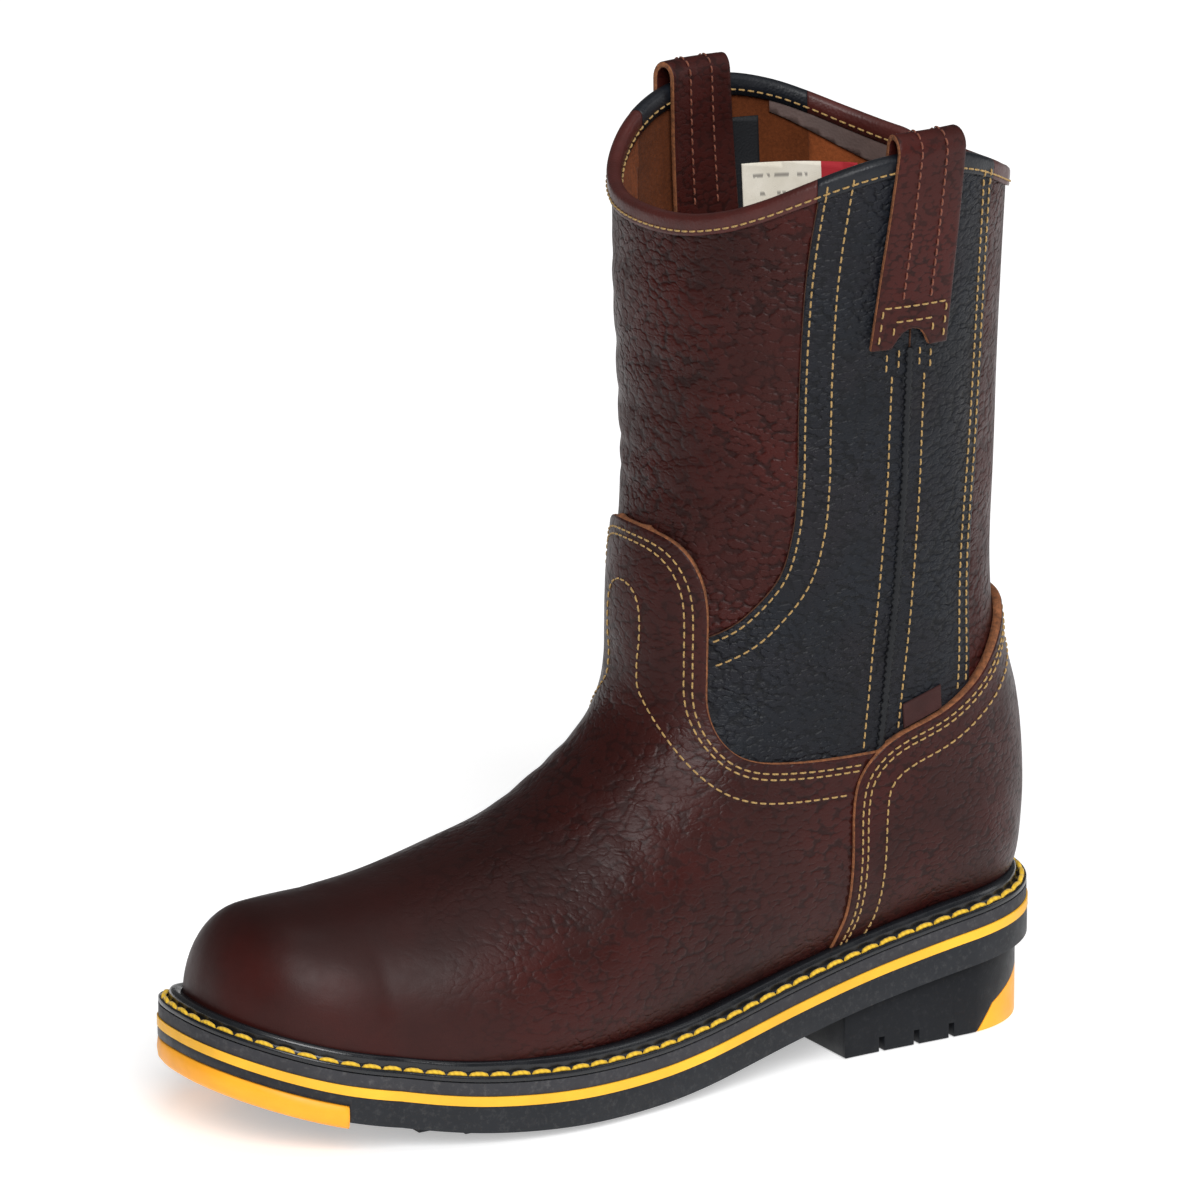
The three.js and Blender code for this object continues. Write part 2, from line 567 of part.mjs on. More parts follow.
// A solid through closed sections with the same number of points.
function loft(sections) {
  const count = sections[0].length;
  const flat = sections[0].map((p) => new THREE.Vector2(p.x, p.z));
  const found = THREE.ShapeUtils.triangulateShape(flat, []);
  const cap = THREE.ShapeUtils.isClockWise(flat) ? found.map(([a, b, c]) => [a, c, b]) : found;
  const last = (sections.length - 1) * count;
  const triangles = cap.flatMap(([a, b, c]) => [a, c, b, last + a, last + b, last + c]);
  for (let i = 0; i < sections.length - 1; i++)
    for (let k = 0; k < count; k++) {
      const next = (k + 1) % count;
      const here = i * count;
      const there = here + count;
      triangles.push(here + k, here + next, there + next, here + k, there + next, there + k);
    }
  const made = solid(sections.flat().flatMap((p) => [p.x, p.y, p.z]), triangles);
  if (made.volume() > 0) return made;
  return solid(sections.flat().flatMap((p) => [p.x, p.y, p.z]), triangles.reverse());
}

// A leather loop over the rim: an outer leg, the fold and an inner leg, leaning from its foot to its top.
function pullStrap(side, half, places) {
  const [footY, topY] = places.map(along);
  const sign = side === "outer" ? 1 : -1;
  const outFrom = BINDING_OUT + GAP;
  const inTo = BINDING_IN - GAP;
  const foot = SHAFT_HEIGHT - STRAP_DROP;
  const foldStart = SHAFT_HEIGHT + 3 * GAP + BINDING;
  const footHalf = STRAP_WIDTH / 2;
  const topHalf = STRAP_TOP_WIDTH / 2;
  const legs = sidePrism([[footY - footHalf, foot], [footY + footHalf, foot],
    [topY + topHalf, foldStart + GAP], [topY - topHalf, foldStart + GAP]]);
  const leg = (from) => layer(from, from + STRAP).intersect(legs).intersect(half);
  const steps = 6;
  const section = (across) => {
    const y = topY + across * STRAP_TOP_WIDTH;
    const outer = onShaft(y, foldStart, sign, outFrom).x;
    const inner = onShaft(y, foldStart, sign, inTo).x;
    const middle = (outer + inner) / 2;
    const radius = Math.abs(outer - inner) / 2;
    const arc = (reach) => {
      const points = [];
      for (let i = 0; i <= steps; i++) {
        const turn = (i / steps) * Math.PI;
        const x = middle + reach * Math.cos(turn);
        points.push(new THREE.Vector3(x, y, foldStart + reach * Math.sin(turn)));
      }
      return points;
    };
    return [...arc(radius + STRAP), ...arc(radius).reverse()];
  };
  const loop = leg(outFrom).add(leg(inTo - STRAP)).add(loft([-0.5, -0.25, 0, 0.25, 0.5].map(section)));
  const notch = new THREE.CylinderGeometry(STRAP_NOTCH, STRAP_NOTCH, 2 * STRAP_NOTCH, 12);
  notch.rotateZ(Math.PI / 2).scale(1, 1, 1.3);
  notch.translate(onShaft(footY, foot, sign, outFrom + STRAP_NOTCH).x, footY, foot);
  add(`pull_strap_${side}`, "strap_leather", loop.subtract(toSolid(notch)));
}

function sideTrim(side, half) {
  const edge = PIPING_WIDTH / 2;
  const piping = sidePrism([...shifted(PANEL_SEAM, -edge), ...shifted(PANEL_SEAM, edge).reverse()]);
  const lowEnd = up(119);
  const highEnd = SHAFT_HEIGHT - STRAP_DROP - 1;
  const outside = layer(GAP, GAP + TRIM);
  add(`side_piping_${side}`, "black_leather",
    outside.intersect(half).intersect(piping).intersect(box(-FAR, FAR, lowEnd, highEnd)));
  const tape = layer(SHAFT_IN - GAP - INSIDE_TRIM, SHAFT_IN - GAP);
  const tapeTop = SHAFT_HEIGHT - BINDING_DROP - 8;
  add(`side_seam_tape_${side}`, "black_leather",
    tape.intersect(half).intersect(box(along(TAPE_FRONT), along(TAPE_BACK), up(152), tapeTop)));
}

function backTrim() {
  const outside = layer(GAP, GAP + TRIM).intersect(box(along(100), FAR, up(153), up(237)));
  const narrow = BACKSTAY_WIDTH / 2;
  const strip = planPrism([[-narrow, 50], [narrow, 50], [narrow, FAR], [-narrow, FAR]], 0, FAR);
  add("backstay", "black_leather", outside.intersect(strip));
  const facing = layer(SHAFT_IN - GAP - INSIDE_TRIM, SHAFT_IN - GAP);
  add("collar_facing_back", "facing_leather", facing
    .intersect(below(RIM, BINDING_DROP + GAP))
    .intersect(above(RIM, -BINDING_DROP - FACING_DEPTH))
    .intersect(box(along(100), FAR, 0, FAR)));
}

function labels() {
  const tag = sidePrism(TAG_CORNERS.map(at));
  add("side_tag", "tag_cloth", layer(GAP, GAP + TRIM).intersect(outerSide).intersect(tag));
  const [[front, low], [back, high]] = LABEL_CORNERS.map(at);
  const under = SHAFT_IN - 2 * GAP - INSIDE_TRIM;
  const sheet = layer(under - LABEL, under).intersect(innerSide);
  add("size_label", "label_cloth", sheet.intersect(box(front, back, low, high)));
}

// ---------------------------------------------------------------- inside the foot
const cavity = body(LINING_IN - 2 * GAP).intersect(box(TOE_TIP - LINING_IN + 2, FAR, -50, FAR));

// The shank's outline in plan, grown by margin.
function shankOutline(margin) {
  const half = SHANK_WIDTH / 2 + margin;
  const front = along(SHANK_FRONT) - margin;
  const back = along(SHANK_BACK) + margin;
  return [[-half, front], [half, front], [half, back], [-half, back]];
}

function underFoot() {
  const shankLow = UPPER_LOW + SHANK_RISE;
  const slot = plate(shankOutline(GAP), shankLow - GAP, CORK_TOP + 3);
  add("cork_filler", "cork", cavity.intersect(band(UPPER_LOW, CORK_TOP)).subtract(slot));
  add("steel_shank", "steel", plate(shankOutline(0), shankLow, shankLow + SHANK_STEEL));
  add("insole_board", "fibreboard", cavity.intersect(band(CORK_TOP + GAP, BOARD_TOP)));
  const free = body(LINING_IN - FOOTBED_CLEARANCE);
  const toeTrim = box(TOE_TIP - LINING_IN + FOOTBED_TOE_CLEARANCE, FAR, -50, FAR);
  const cushion = band(BOARD_TOP + GAP, BOARD_TOP + GAP + FOOTBED);
  add("footbed", "foam", free.intersect(cushion).intersect(toeTrim));
}

// ---------------------------------------------------------------- sole
function welt() {
  const flange = plate(soleOutline(0.4), UPPER_LOW, UPPER_LOW + WELT_FLANGE);
  const ridgeInset = WELT_REACH - WELT_RIDGE_WIDTH;
  const heelInset = HEEL_WELT_REACH - WELT_RIDGE_WIDTH + 1;
  const ridge = plate(soleOutline(ridgeInset, heelInset), UPPER_LOW, UPPER_LOW + WELT_FLANGE + WELT_RIDGE);
  const upper = body(VAMP_OUT + GAP);
  add("welt", "black_rubber", flange.add(ridge).subtract(upper));
  const low = UPPER_LOW + WELT_FLANGE + GAP;
  const ring = planPrism(soleOutline(1.2)).subtract(planPrism(soleOutline(1.2 + THREAD)));
  add("welt_thread", "yellow_thread", ring.intersect(band(low, low + 0.8)));
}

function outsole() {
  const sole = plate(soleOutline(), OUTSOLE_LOW, OUTSOLE_TOP);
  let tread = null;
  for (let i = 0; i < TREAD_BARS; i++) {
    const y = along(TREAD_START) + i * (TREAD_BAR + TREAD_GAP);
    const tip = soleHeight(y + TREAD_BAR / 2) + OUTSOLE_LOW - TREAD_DEPTH;
    const bar = box(y, y + TREAD_BAR, Math.max(0, tip), Math.max(0, tip) + OUTSOLE);
    tread = tread ? tread.add(bar) : bar;
  }
  const lugs = tread.intersect(planPrism(soleOutline(TREAD_INSET))).intersect(band(-60, OUTSOLE_TOP - 2));
  const bumperRoom = bumperSolid(GAP);
  add("outsole", "black_rubber", sole.add(lugs).subtract(bumperRoom));
}

// The bumper round the toe, or the room for it when grown by margin.
function bumperSolid(margin) {
  const low = OUTSOLE_LOW - BUMPER_DROP;
  const outline = planPrism(soleOutline(margin ? -5 : 0));
  const ring = outline.subtract(planPrism(soleOutline(TOE_BUMPER_DEPTH + margin)));
  const end = along(TOE_BUMPER_END) + margin;
  const height = band(low - 3 * margin, low + TOE_BUMPER + margin);
  return ring.intersect(height).intersect(box(-FAR, end, -50, FAR));
}

// Side view of the insert at the heel's rear corner, grown by margin.
function insertOutline(margin) {
  const front = along(124) - 2 * margin;
  const bend = along(131) - margin;
  return [[front, -5], [front, 0], [bend, 8.5 + margin], [along(160), 22 + margin],
    [FAR, 22 + margin], [FAR, -5]];
}

function heel() {
  const outline = soleOutline(HEEL_INSET, HEEL_BACK_INSET).filter(([, y]) => y > HEEL_BREAST);
  const first = outline[0];
  const last = outline.at(-1);
  const footprint = [[first[0], HEEL_BREAST], ...outline, [last[0], HEEL_BREAST]];
  const top = OUTSOLE_LOW - GAP;
  const block = planPrism(footprint).intersect(sidePrism([...soleCurve(top), [FAR, 0], [-FAR, 0]]));
  let grooves = null;
  for (let i = 0; i < HEEL_GROOVES; i++) {
    const y = HEEL_BREAST + GROOVE_START + i * GROOVE_PITCH;
    const groove = box(y - GROOVE_WIDTH / 2, y + GROOVE_WIDTH / 2, -5, GROOVE_DEPTH);
    grooves = grooves ? grooves.add(groove) : groove;
  }
  const web = sidePrism([[-FAR, -10], [FAR, -10], [FAR, FAR], [-FAR, FAR]], -GROOVE_WEB, GROOVE_WEB);
  const corner = (margin) => sidePrism(insertOutline(margin));
  let cut = block.subtract(grooves.subtract(web)).subtract(corner(GAP));
  NAIL_PLACES.forEach((place, i) => {
    cut = cut.subtract(upright(place, NAIL_RADIUS + GAP, -1, NAIL_LENGTH + GAP));
    add(`heel_nail_${i + 1}`, "steel", upright(place, NAIL_RADIUS, NAIL_SINK, NAIL_LENGTH));
  });
  add("heel_block", "black_rubber", cut);
  add("heel_insert", "amber_rubber", block.intersect(corner(0)));
}

// An upright round bar at a place in plan, for the nails and their holes.
function upright([x, y], radius, low, high) {
  const bar = new THREE.CylinderGeometry(radius, radius, high - low, 10);
  bar.rotateX(Math.PI / 2).translate(x, along(y), (low + high) / 2);
  return toSolid(bar);
}

// ---------------------------------------------------------------- assembly
shaftPanels();
vampAndCounter();
linings();
stiffeners();
collarBindings();
pullStrap("outer", outerSide, OUTER_STRAP);
pullStrap("inner", innerSide, INNER_STRAP);
sideTrim("outer", outerSide);
sideTrim("inner", innerSide);
backTrim();
labels();
underFoot();
welt();
add("midsole_upper", "midsole_rubber", plate(soleOutline(0.3), MIDSOLE_LOW, MIDSOLE_TOP));
add("midsole_stripe", "yellow_rubber", plate(soleOutline(), -STRIPE / 2, STRIPE_TOP));
outsole();
add("toe_bumper", "amber_rubber", bumperSolid(0));
heel();

export default group;
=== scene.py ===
"""Steel toe pull-on work boot: the fine surface, materials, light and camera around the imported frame."""
import math

import bmesh
import bpy
import numpy as np
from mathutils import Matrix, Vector
from mathutils.kdtree import KDTree


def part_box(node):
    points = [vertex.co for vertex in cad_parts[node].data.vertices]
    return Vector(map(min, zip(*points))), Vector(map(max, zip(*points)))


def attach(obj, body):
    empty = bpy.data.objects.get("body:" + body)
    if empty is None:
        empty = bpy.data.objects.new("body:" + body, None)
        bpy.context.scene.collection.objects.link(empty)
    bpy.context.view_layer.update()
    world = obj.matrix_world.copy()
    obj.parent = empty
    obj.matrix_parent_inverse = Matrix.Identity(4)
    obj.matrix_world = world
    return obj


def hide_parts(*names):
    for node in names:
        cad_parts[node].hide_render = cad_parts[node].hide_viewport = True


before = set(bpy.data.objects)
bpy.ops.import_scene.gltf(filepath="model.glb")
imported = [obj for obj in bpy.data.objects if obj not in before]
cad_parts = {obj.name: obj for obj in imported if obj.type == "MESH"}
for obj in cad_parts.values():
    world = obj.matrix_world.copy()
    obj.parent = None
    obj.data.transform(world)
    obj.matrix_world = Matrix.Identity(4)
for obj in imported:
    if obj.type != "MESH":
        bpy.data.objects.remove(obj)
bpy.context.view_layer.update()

bl_info = {
    "name": "Pull-on work boot",
    "version": (1, 0, 0),
    "blender": (4, 5, 0),
    "location": "View3D > Sidebar > Work boot",
    "description": "Builds the leather upper, the trim and the sole of a steel toe pull-on work boot",
    "category": "Object",
}

MM = 0.001
BODY = "boot"
TAU = 2 * math.pi

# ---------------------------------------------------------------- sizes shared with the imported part, in mm
SOLE_HALF = 159.0  # half of the sole's length
SHAFT_TOP = 316.5
SHAFT_IN = -2.2  # inner face of the shaft leather, from the swept surface
VAMP_IN = 0.3
VAMP_OUT = 2.5
LINING_IN = -4.0
LINING_OUT = -2.5
BINDING_OUT = 1.2
BINDING_IN = -3.4
STRAP = 2.4
STRAP_WIDTH = 28.0
STRAP_TOP_WIDTH = 25.5
STRAP_DROP = 64.0
STRIPE_HALF = 1.65
MIDSOLE_LOW = 1.95
MIDSOLE_TOP = 6.05
UPPER_LOW = 6.35
FLANGE_TOP = 8.65
RIDGE_TOP = 12.65
RIDGE_INSET = 3.9
OUTSOLE_TOP = -1.95
OUTSOLE_LOW = -10.85
BUMPER_LOW = -13.35
BUMPER_TOP = -5.35
BUMPER_END = -122.0
BUMPER_DEPTH = 14.0
BOARD_TOP = 11.45
FOOTBED_TOP = 16.25
HEEL_BREAST = 70.0
TREAD_DEPTH = 2.2
GAP = 0.3
STRIP = 0.8  # thickness of the facing and of the tape inside the side seams
LINING_TOP = 150.0
LINING_JOIN = 64.0  # y where the vamp lining meets the heel lining
TAPE_ENDS = (152, 302)
TAPE_SIDES = (64, 96)
BACKSTAY_HALF = 8.5
BACKSTAY_ENDS = (150, 237)
PIPING_LOW = 107.5
PIPING_TOOTH = 2.6  # pitch of the teeth along the piping
BACK_START = 100.0  # y behind which the facing and the backstay lie
TAG_CORNERS = [(86.5, 116), (101, 121.1), (100, 129.5), (85.5, 124.5)]
LABEL_SIDES = (89, 126)
LABEL_ENDS = (238, 286)
LABEL_FACES = (-3.6, -4.2)
BINDING_ENDS = (44.6, 112.5)  # y of the two seams in the binding on each side

SOLE_LINE = [(-175, 40), (-159, 34.3), (-121, 23), (-81, 15.7), (-30, 12.9), (7, 15), (48, 23), (88, 31),
             (126, 37), (159, 39.5), (175, 40)]
SOLE_SIDES = [(-105, 46, 49), (-75, 54, 54.5), (-45, 57, 53), (-10, 53, 45), (30, 46.5, 37), (70, 42, 37.5),
              (118, 41.5, 41)]
# Rings that sweep the outside of the shaft leather: front (y, z), back (y, z), half-widths, shape.
RINGS = [
    ((-105, 73.8), (-105, None), 39.5, 42.5, 0.7, 2.2, 2.8),
    ((-81, 77.2), (-82, None), 46, 47, 0.7, 2.15, 2.8),
    ((-56, 84), (-60, None), 49.5, 48, 0.7, 2.1, 2.8),
    ((-32, 92.8), (-36, None), 49.5, 45.5, 0.69, 2.05, 2.8),
    ((-9.5, 108), (-6, None), 46.5, 42, 0.66, 2.05, 2.7),
    ((2, 119.5), (30, None), 43.5, 40, 0.62, 2.1, 2.6),
    ((6.3, 130), (75, None), 42.5, 40, 0.57, 2.15, 2.5),
    ((7.2, 140), (115, None), 43, 41.5, 0.54, 2.15, 2.45),
    ((7, 150), (140, None), 44, 43, 0.52, 2.15, 2.4),
    ((7.2, 160), (150, 50), 45, 44.5, 0.51, 2.15, 2.4),
    ((8, 170), (153.2, 70), 46, 46, 0.5, 2.15, 2.35),
    ((9.8, 181), (152.6, 91), 47.5, 47.5, 0.5, 2.15, 2.3),
    ((12, 194), (149.2, 111), 50, 50, 0.5, 2.15, 2.25),
    ((13.2, 209), (143, 132), 52.5, 52.5, 0.5, 2.15, 2.2),
    ((13.4, 227), (140, 160), 55.5, 55.5, 0.5, 2.15, 2.15),
    ((13, 247), (139.8, 195), 58.5, 58.5, 0.5, 2.15, 2.15),
    ((12.6, 267), (139.6, 230), 61, 61, 0.5, 2.15, 2.15),
    ((13.6, 286), (140.2, 262), 63, 63, 0.5, 2.15, 2.15),
    ((13.2, 306), (141, 292), 65, 65, 0.5, 2.15, 2.15),
    ((12, 332), (142, 328), 66.5, 66.5, 0.5, 2.15, 2.15),
]
RIM = [(-60, 293), (-20, 292.2), (0, 291.9), (13, 293), (22, 296.9), (31, 302.2), (41, 307.8), (52, 312.5),
       (64, 315.5), (76, 316.5), (89, 315.6), (102, 312.5), (113, 308.2), (124, 303), (134, 298.5), (145, 295.2),
       (200, 294)]
PANEL_FRONT = [(47.5, 335), (45.5, 310), (43.3, 288), (42, 262), (42.3, 235), (43.6, 206), (43.4, 188),
               (40.5, 173), (32, 160.5), (22.7, 153.2), (8, 147), (-20, 138), (-300, 138)]
PANEL_SEAM = [(77.5, 335), (78, 240), (79.3, 197), (79.5, 140), (77, 80), (77, -60)]
PANEL_REAR = [(112.5, 335), (112.5, 230), (111.2, 170), (113, 128), (114, 80), (114, -60)]
SHAFT_HEM = [(-80, 178), (3, 178), (10, 168), (10.5, 135), (13, 114), (24, 103), (50, 98.5), (80, 98.5),
             (104, 110), (128, 126), (142, 138), (200, 140)]
VAMP_EDGE = [(-80, 187.5), (4, 187.5), (11, 186.8), (16.3, 182.5), (19.9, 174.5), (21.7, 163), (21.6, 142),
             (21.5, 126), (25, 116), (33, 110.5), (48, 108.8), (72, 109.3), (120, 112)]
COUNTER_FRONT = [(62, 5), (65, 40), (67.6, 54), (68.2, 70), (68, 90), (70, 101), (76, 109.3), (85, 114.8),
                 (101, 120.5), (112, 127.5), (122, 137), (131, 144.8), (140, 150), (200, 153)]


# ---------------------------------------------------------------- curves
def through(rows, t):
    """Smooth interpolation through rows of numbers; t counts rows."""
    rows = np.asarray(rows, float)
    t = np.asarray(t, float)
    i = np.clip(np.floor(t).astype(int), 0, len(rows) - 2)
    f = (t - i)[..., None]
    grown = np.vstack([2 * rows[0] - rows[1], rows, 2 * rows[-1] - rows[-2]])
    a, b, c, d = grown[i], grown[i + 1], grown[i + 2], grown[i + 3]
    bend = 2 * a - 5 * b + 4 * c - d
    twist = 3 * b - a - 3 * c + d
    return b + 0.5 * f * ((c - a) + f * (bend + f * twist))


def smooth(points, steps=24):
    """Points along a smooth line through the given ones."""
    t = np.linspace(0, len(points) - 1, (len(points) - 1) * steps + 1)
    return through(points, t)


def height_at(points, y):
    line = smooth(points, 60)
    return np.interp(y, line[:, 0], line[:, 1])


SOLE_CURVE = smooth(SOLE_LINE, 60)
RIM_CURVE = smooth(RIM, 60)


def sole_height(y):
    return np.interp(y, SOLE_CURVE[:, 0], SOLE_CURVE[:, 1])


def rim_height(y):
    return np.interp(y, RIM_CURVE[:, 0], RIM_CURVE[:, 1])


def swing(y):
    return -9 * np.clip((-60 - y) / 99, 0, 1) ** 2


def rounding(share, power):
    return np.maximum(0, 1 - np.minimum(1, share) ** power) ** (1 / power)


# ---------------------------------------------------------------- the swept surface of the upper
UNDER = 1
RING_ROWS = np.array([
    [front[0], front[1], back[0], sole_height(back[0]) + UNDER if back[1] is None else back[1], *rest]
    for front, back, *rest in RINGS
], float)
TOE_TIP = -149.0
TOE_START = -105.0
TOE_HEIGHT_ROUND = 22.0
LAST = len(RINGS)


def ring_at(s):
    s = np.asarray(s, float)
    rows = through(RING_ROWS, np.maximum(s, 1) - 1)
    y = TOE_TIP + (TOE_START - TOE_TIP) * (1 - np.cos(np.clip(s, 0, 1) * math.pi / 2))
    low = sole_height(y) + UNDER
    top = 73.8 + 0.06 * (y - TOE_START)
    plan = rounding((TOE_START - y) / (TOE_START - TOE_TIP), 2.25)
    rise = rounding(np.maximum(0, TOE_TIP + TOE_HEIGHT_ROUND - y) / TOE_HEIGHT_ROUND, 2.3)
    toe = np.empty(s.shape + (9,))
    growth = (RING_ROWS[1] - RING_ROWS[0]) / (RING_ROWS[1][2] - RING_ROWS[0][2]) * 0.3
    toe[..., 0] = y
    toe[..., 1] = low + (top - low) * rise
    toe[..., 2] = y
    toe[..., 3] = low
    toe[..., 4] = (RING_ROWS[0][4] + growth[4] * (y - TOE_START)) * plan
    toe[..., 5] = (RING_ROWS[0][5] + growth[5] * (y - TOE_START)) * plan
    toe[..., 6:] = RING_ROWS[0][6:]
    return np.where((s < 1)[..., None], toe, rows)


def point_at(s, turn):
    ring = ring_at(s)
    sine, cosine = np.sin(turn), np.cos(turn)
    power = np.where(cosine > 0, ring[..., 7], ring[..., 8])
    reach = (np.abs(sine) ** power + np.abs(cosine) ** power) ** (-1 / power)
    belly = ring[..., 6]
    depth = np.where(cosine > 0, belly * (1 - reach * cosine), belly - (1 - belly) * reach * cosine)
    across = reach * sine * np.where(sine > 0, ring[..., 4], ring[..., 5])
    y = ring[..., 0] + (ring[..., 2] - ring[..., 0]) * depth
    z = ring[..., 1] + (ring[..., 3] - ring[..., 1]) * depth
    return np.stack([across + swing(y), y, z], -1)


def normal_at(s, turn):
    step = 0.02
    s = np.maximum(s, 0.03)
    round_ring = point_at(s, turn + step) - point_at(s, turn - step)
    along_boot = point_at(s + step, turn) - point_at(s - step, turn)
    n = np.cross(round_ring, along_boot)
    return n / np.maximum(np.linalg.norm(n, axis=-1, keepdims=True), 1e-9)


def waves(p, seed, size):
    """A smooth wandering value near -1 to 1, over lengths of about size."""
    rng = np.random.default_rng(seed)
    total = np.zeros(p.shape[:-1])
    for _ in range(9):
        k = rng.normal(size=3)
        k *= TAU / (size * rng.uniform(0.7, 1.6)) / np.linalg.norm(k)
        total += np.sin(p @ k + rng.uniform(0, TAU))
    return total / 4.5


# Folds pressed into the leather by wear: height, lean, depth, width.
SHAFT_FOLDS = [(212, 0.10, 0.75, 3.0), (226, -0.06, 0.55, 3.4), (241, 0.04, 0.6, 4.0), (257, -0.08, 0.4, 4.2),
               (272, 0.05, 0.45, 4.4), (200, -0.05, 0.7, 2.8)]


def relief(p):
    """How far the leather lies out of its smooth sweep at a point."""
    y, z = p[..., 1], p[..., 2]
    upper = np.clip((z - 60) / 60, 0, 1)
    out = 0.45 * upper * waves(p, 3, 70)
    front = np.clip((75 - y) / 50, 0, 1) * np.clip((z - 190) / 12, 0, 1) * np.clip((290 - z) / 20, 0, 1)
    for height, lean, depth, width in SHAFT_FOLDS:
        fall = z - height - lean * p[..., 0] - 3 * np.sin(p[..., 0] / 17 + height)
        out = out - depth * front * np.exp(-((fall / width) ** 2))
    instep = np.exp(-(((y + 14) / 26) ** 2)) * np.clip((z - 62) / 25, 0, 1) * np.clip((130 - z) / 20, 0, 1)
    for k, depth in ((-1, 0.35), (0, 0.5), (1, 0.4)):
        fall = (y + z * 0.35 - 20 - 13 * k) + 2.5 * np.sin(p[..., 0] / 13 + k)
        out = out - depth * instep * np.exp(-((fall / 3.4) ** 2))
    return out


def skin_point(s, turn, distance):
    """A point at a distance outside the swept surface."""
    base = point_at(s, turn)
    lift = np.asarray(distance) + relief(base)
    return base + normal_at(s, turn) * lift[..., None]


def s_for(turn, test, low=3.0, high=None):
    """For each turn, the s at which test(point) passes zero from below."""
    turn = np.asarray(turn, float)
    a = np.full(turn.shape, low)
    b = np.full(turn.shape, LAST + 0.4 if high is None else high)
    for _ in range(34):
        mid = (a + b) / 2
        over = test(point_at(mid, turn)) > 0
        b = np.where(over, mid, b)
        a = np.where(over, a, mid)
    return (a + b) / 2


def on_side(y, z, sign):
    """(s, turn) of the shaft's surface over side-view points."""
    y, z = np.broadcast_arrays(np.asarray(y, float), np.asarray(z, float))
    a, b = np.full(y.shape, 5.0), np.full(y.shape, LAST + 0.9)
    for _ in range(40):
        mid = (a + b) / 2
        ring = ring_at(mid)
        over = (ring[..., 2] - ring[..., 0]) * (z - ring[..., 1]) - (ring[..., 3] - ring[..., 1]) * (y - ring[..., 0])
        a = np.where(over > 0, mid, a)
        b = np.where(over > 0, b, mid)
    ring = ring_at(a)
    dy, dz = ring[..., 2] - ring[..., 0], ring[..., 3] - ring[..., 1]
    depth = (dy * (y - ring[..., 0]) + dz * (z - ring[..., 1])) / (dy**2 + dz**2)
    belly = ring[..., 6]
    ahead = np.where(depth < belly, 1 - depth / belly, (belly - depth) / (1 - belly))
    power = np.where(depth < belly, ring[..., 7], ring[..., 8])
    across = np.maximum(0, 1 - np.minimum(1, np.abs(ahead)) ** power) ** (1 / power)
    return a, sign * np.arctan2(across, ahead)


# ---------------------------------------------------------------- fields over the surface
def side_distance(points, y, z):
    """Signed distance in the side view from a smooth line, positive to the left of its run."""
    line = smooth(points, 10)
    line = line[np.abs(line[:, 0]) < 320]
    a = line[:-1]
    run = line[1:] - a
    length = np.maximum(np.sqrt((run**2).sum(1)), 1e-9)
    best = np.full(y.shape, 1e9)
    side = np.zeros(y.shape)
    for (ay, az), (ry, rz), size in zip(a, run, length):
        f = np.clip(((y - ay) * ry + (z - az) * rz) / size**2, 0, 1)
        apart = np.hypot(y - ay - f * ry, z - az - f * rz)
        off = (ry * (z - az) - rz * (y - ay)) / size
        # Past a corner two stretches are equally near, and the one seen more squarely gives the side.
        nearer = (apart < best - 1e-6) | ((apart < best + 1e-6) & (np.abs(off) > np.abs(side)))
        best = np.where(nearer, apart, best)
        side = np.where(nearer, off, side)
    return best * np.sign(side)


class Grid:
    """A fine net over the swept surface with the fields that cut the leather pieces."""

    def __init__(self):
        toe = np.linspace(0.04, 1, 30)
        rest = np.linspace(1, LAST, (LAST - 1) * 11 + 1)[1:]
        s_row = np.concatenate([toe, rest])
        turn_row = np.linspace(-math.pi, math.pi, 221)
        s, turn = np.meshgrid(s_row, turn_row, indexing="ij")
        rows, columns = s.shape
        corner = np.arange(rows * columns).reshape(rows, columns)
        a, b = corner[:-1, :-1].ravel(), corner[:-1, 1:].ravel()
        c, d = corner[1:, 1:].ravel(), corner[1:, :-1].ravel()
        self.triangles = np.concatenate([np.stack([a, b, c], 1), np.stack([a, c, d], 1)])
        self.places = np.stack([s.ravel(), turn.ravel()], 1)
        p = point_at(self.places[:, 0], self.places[:, 1])
        self.x, self.y, self.z = p[:, 0], p[:, 1], p[:, 2]
        over = {"rim": RIM, "hem": SHAFT_HEM, "vamp": VAMP_EDGE, "counter": COUNTER_FRONT,
                "front": PANEL_FRONT, "seam": PANEL_SEAM, "rear": PANEL_REAR}
        self.field = {name: side_distance(points, self.y, self.z) for name, points in over.items()}
        self.field["floor"] = self.z - sole_height(self.y)


GRID = Grid()


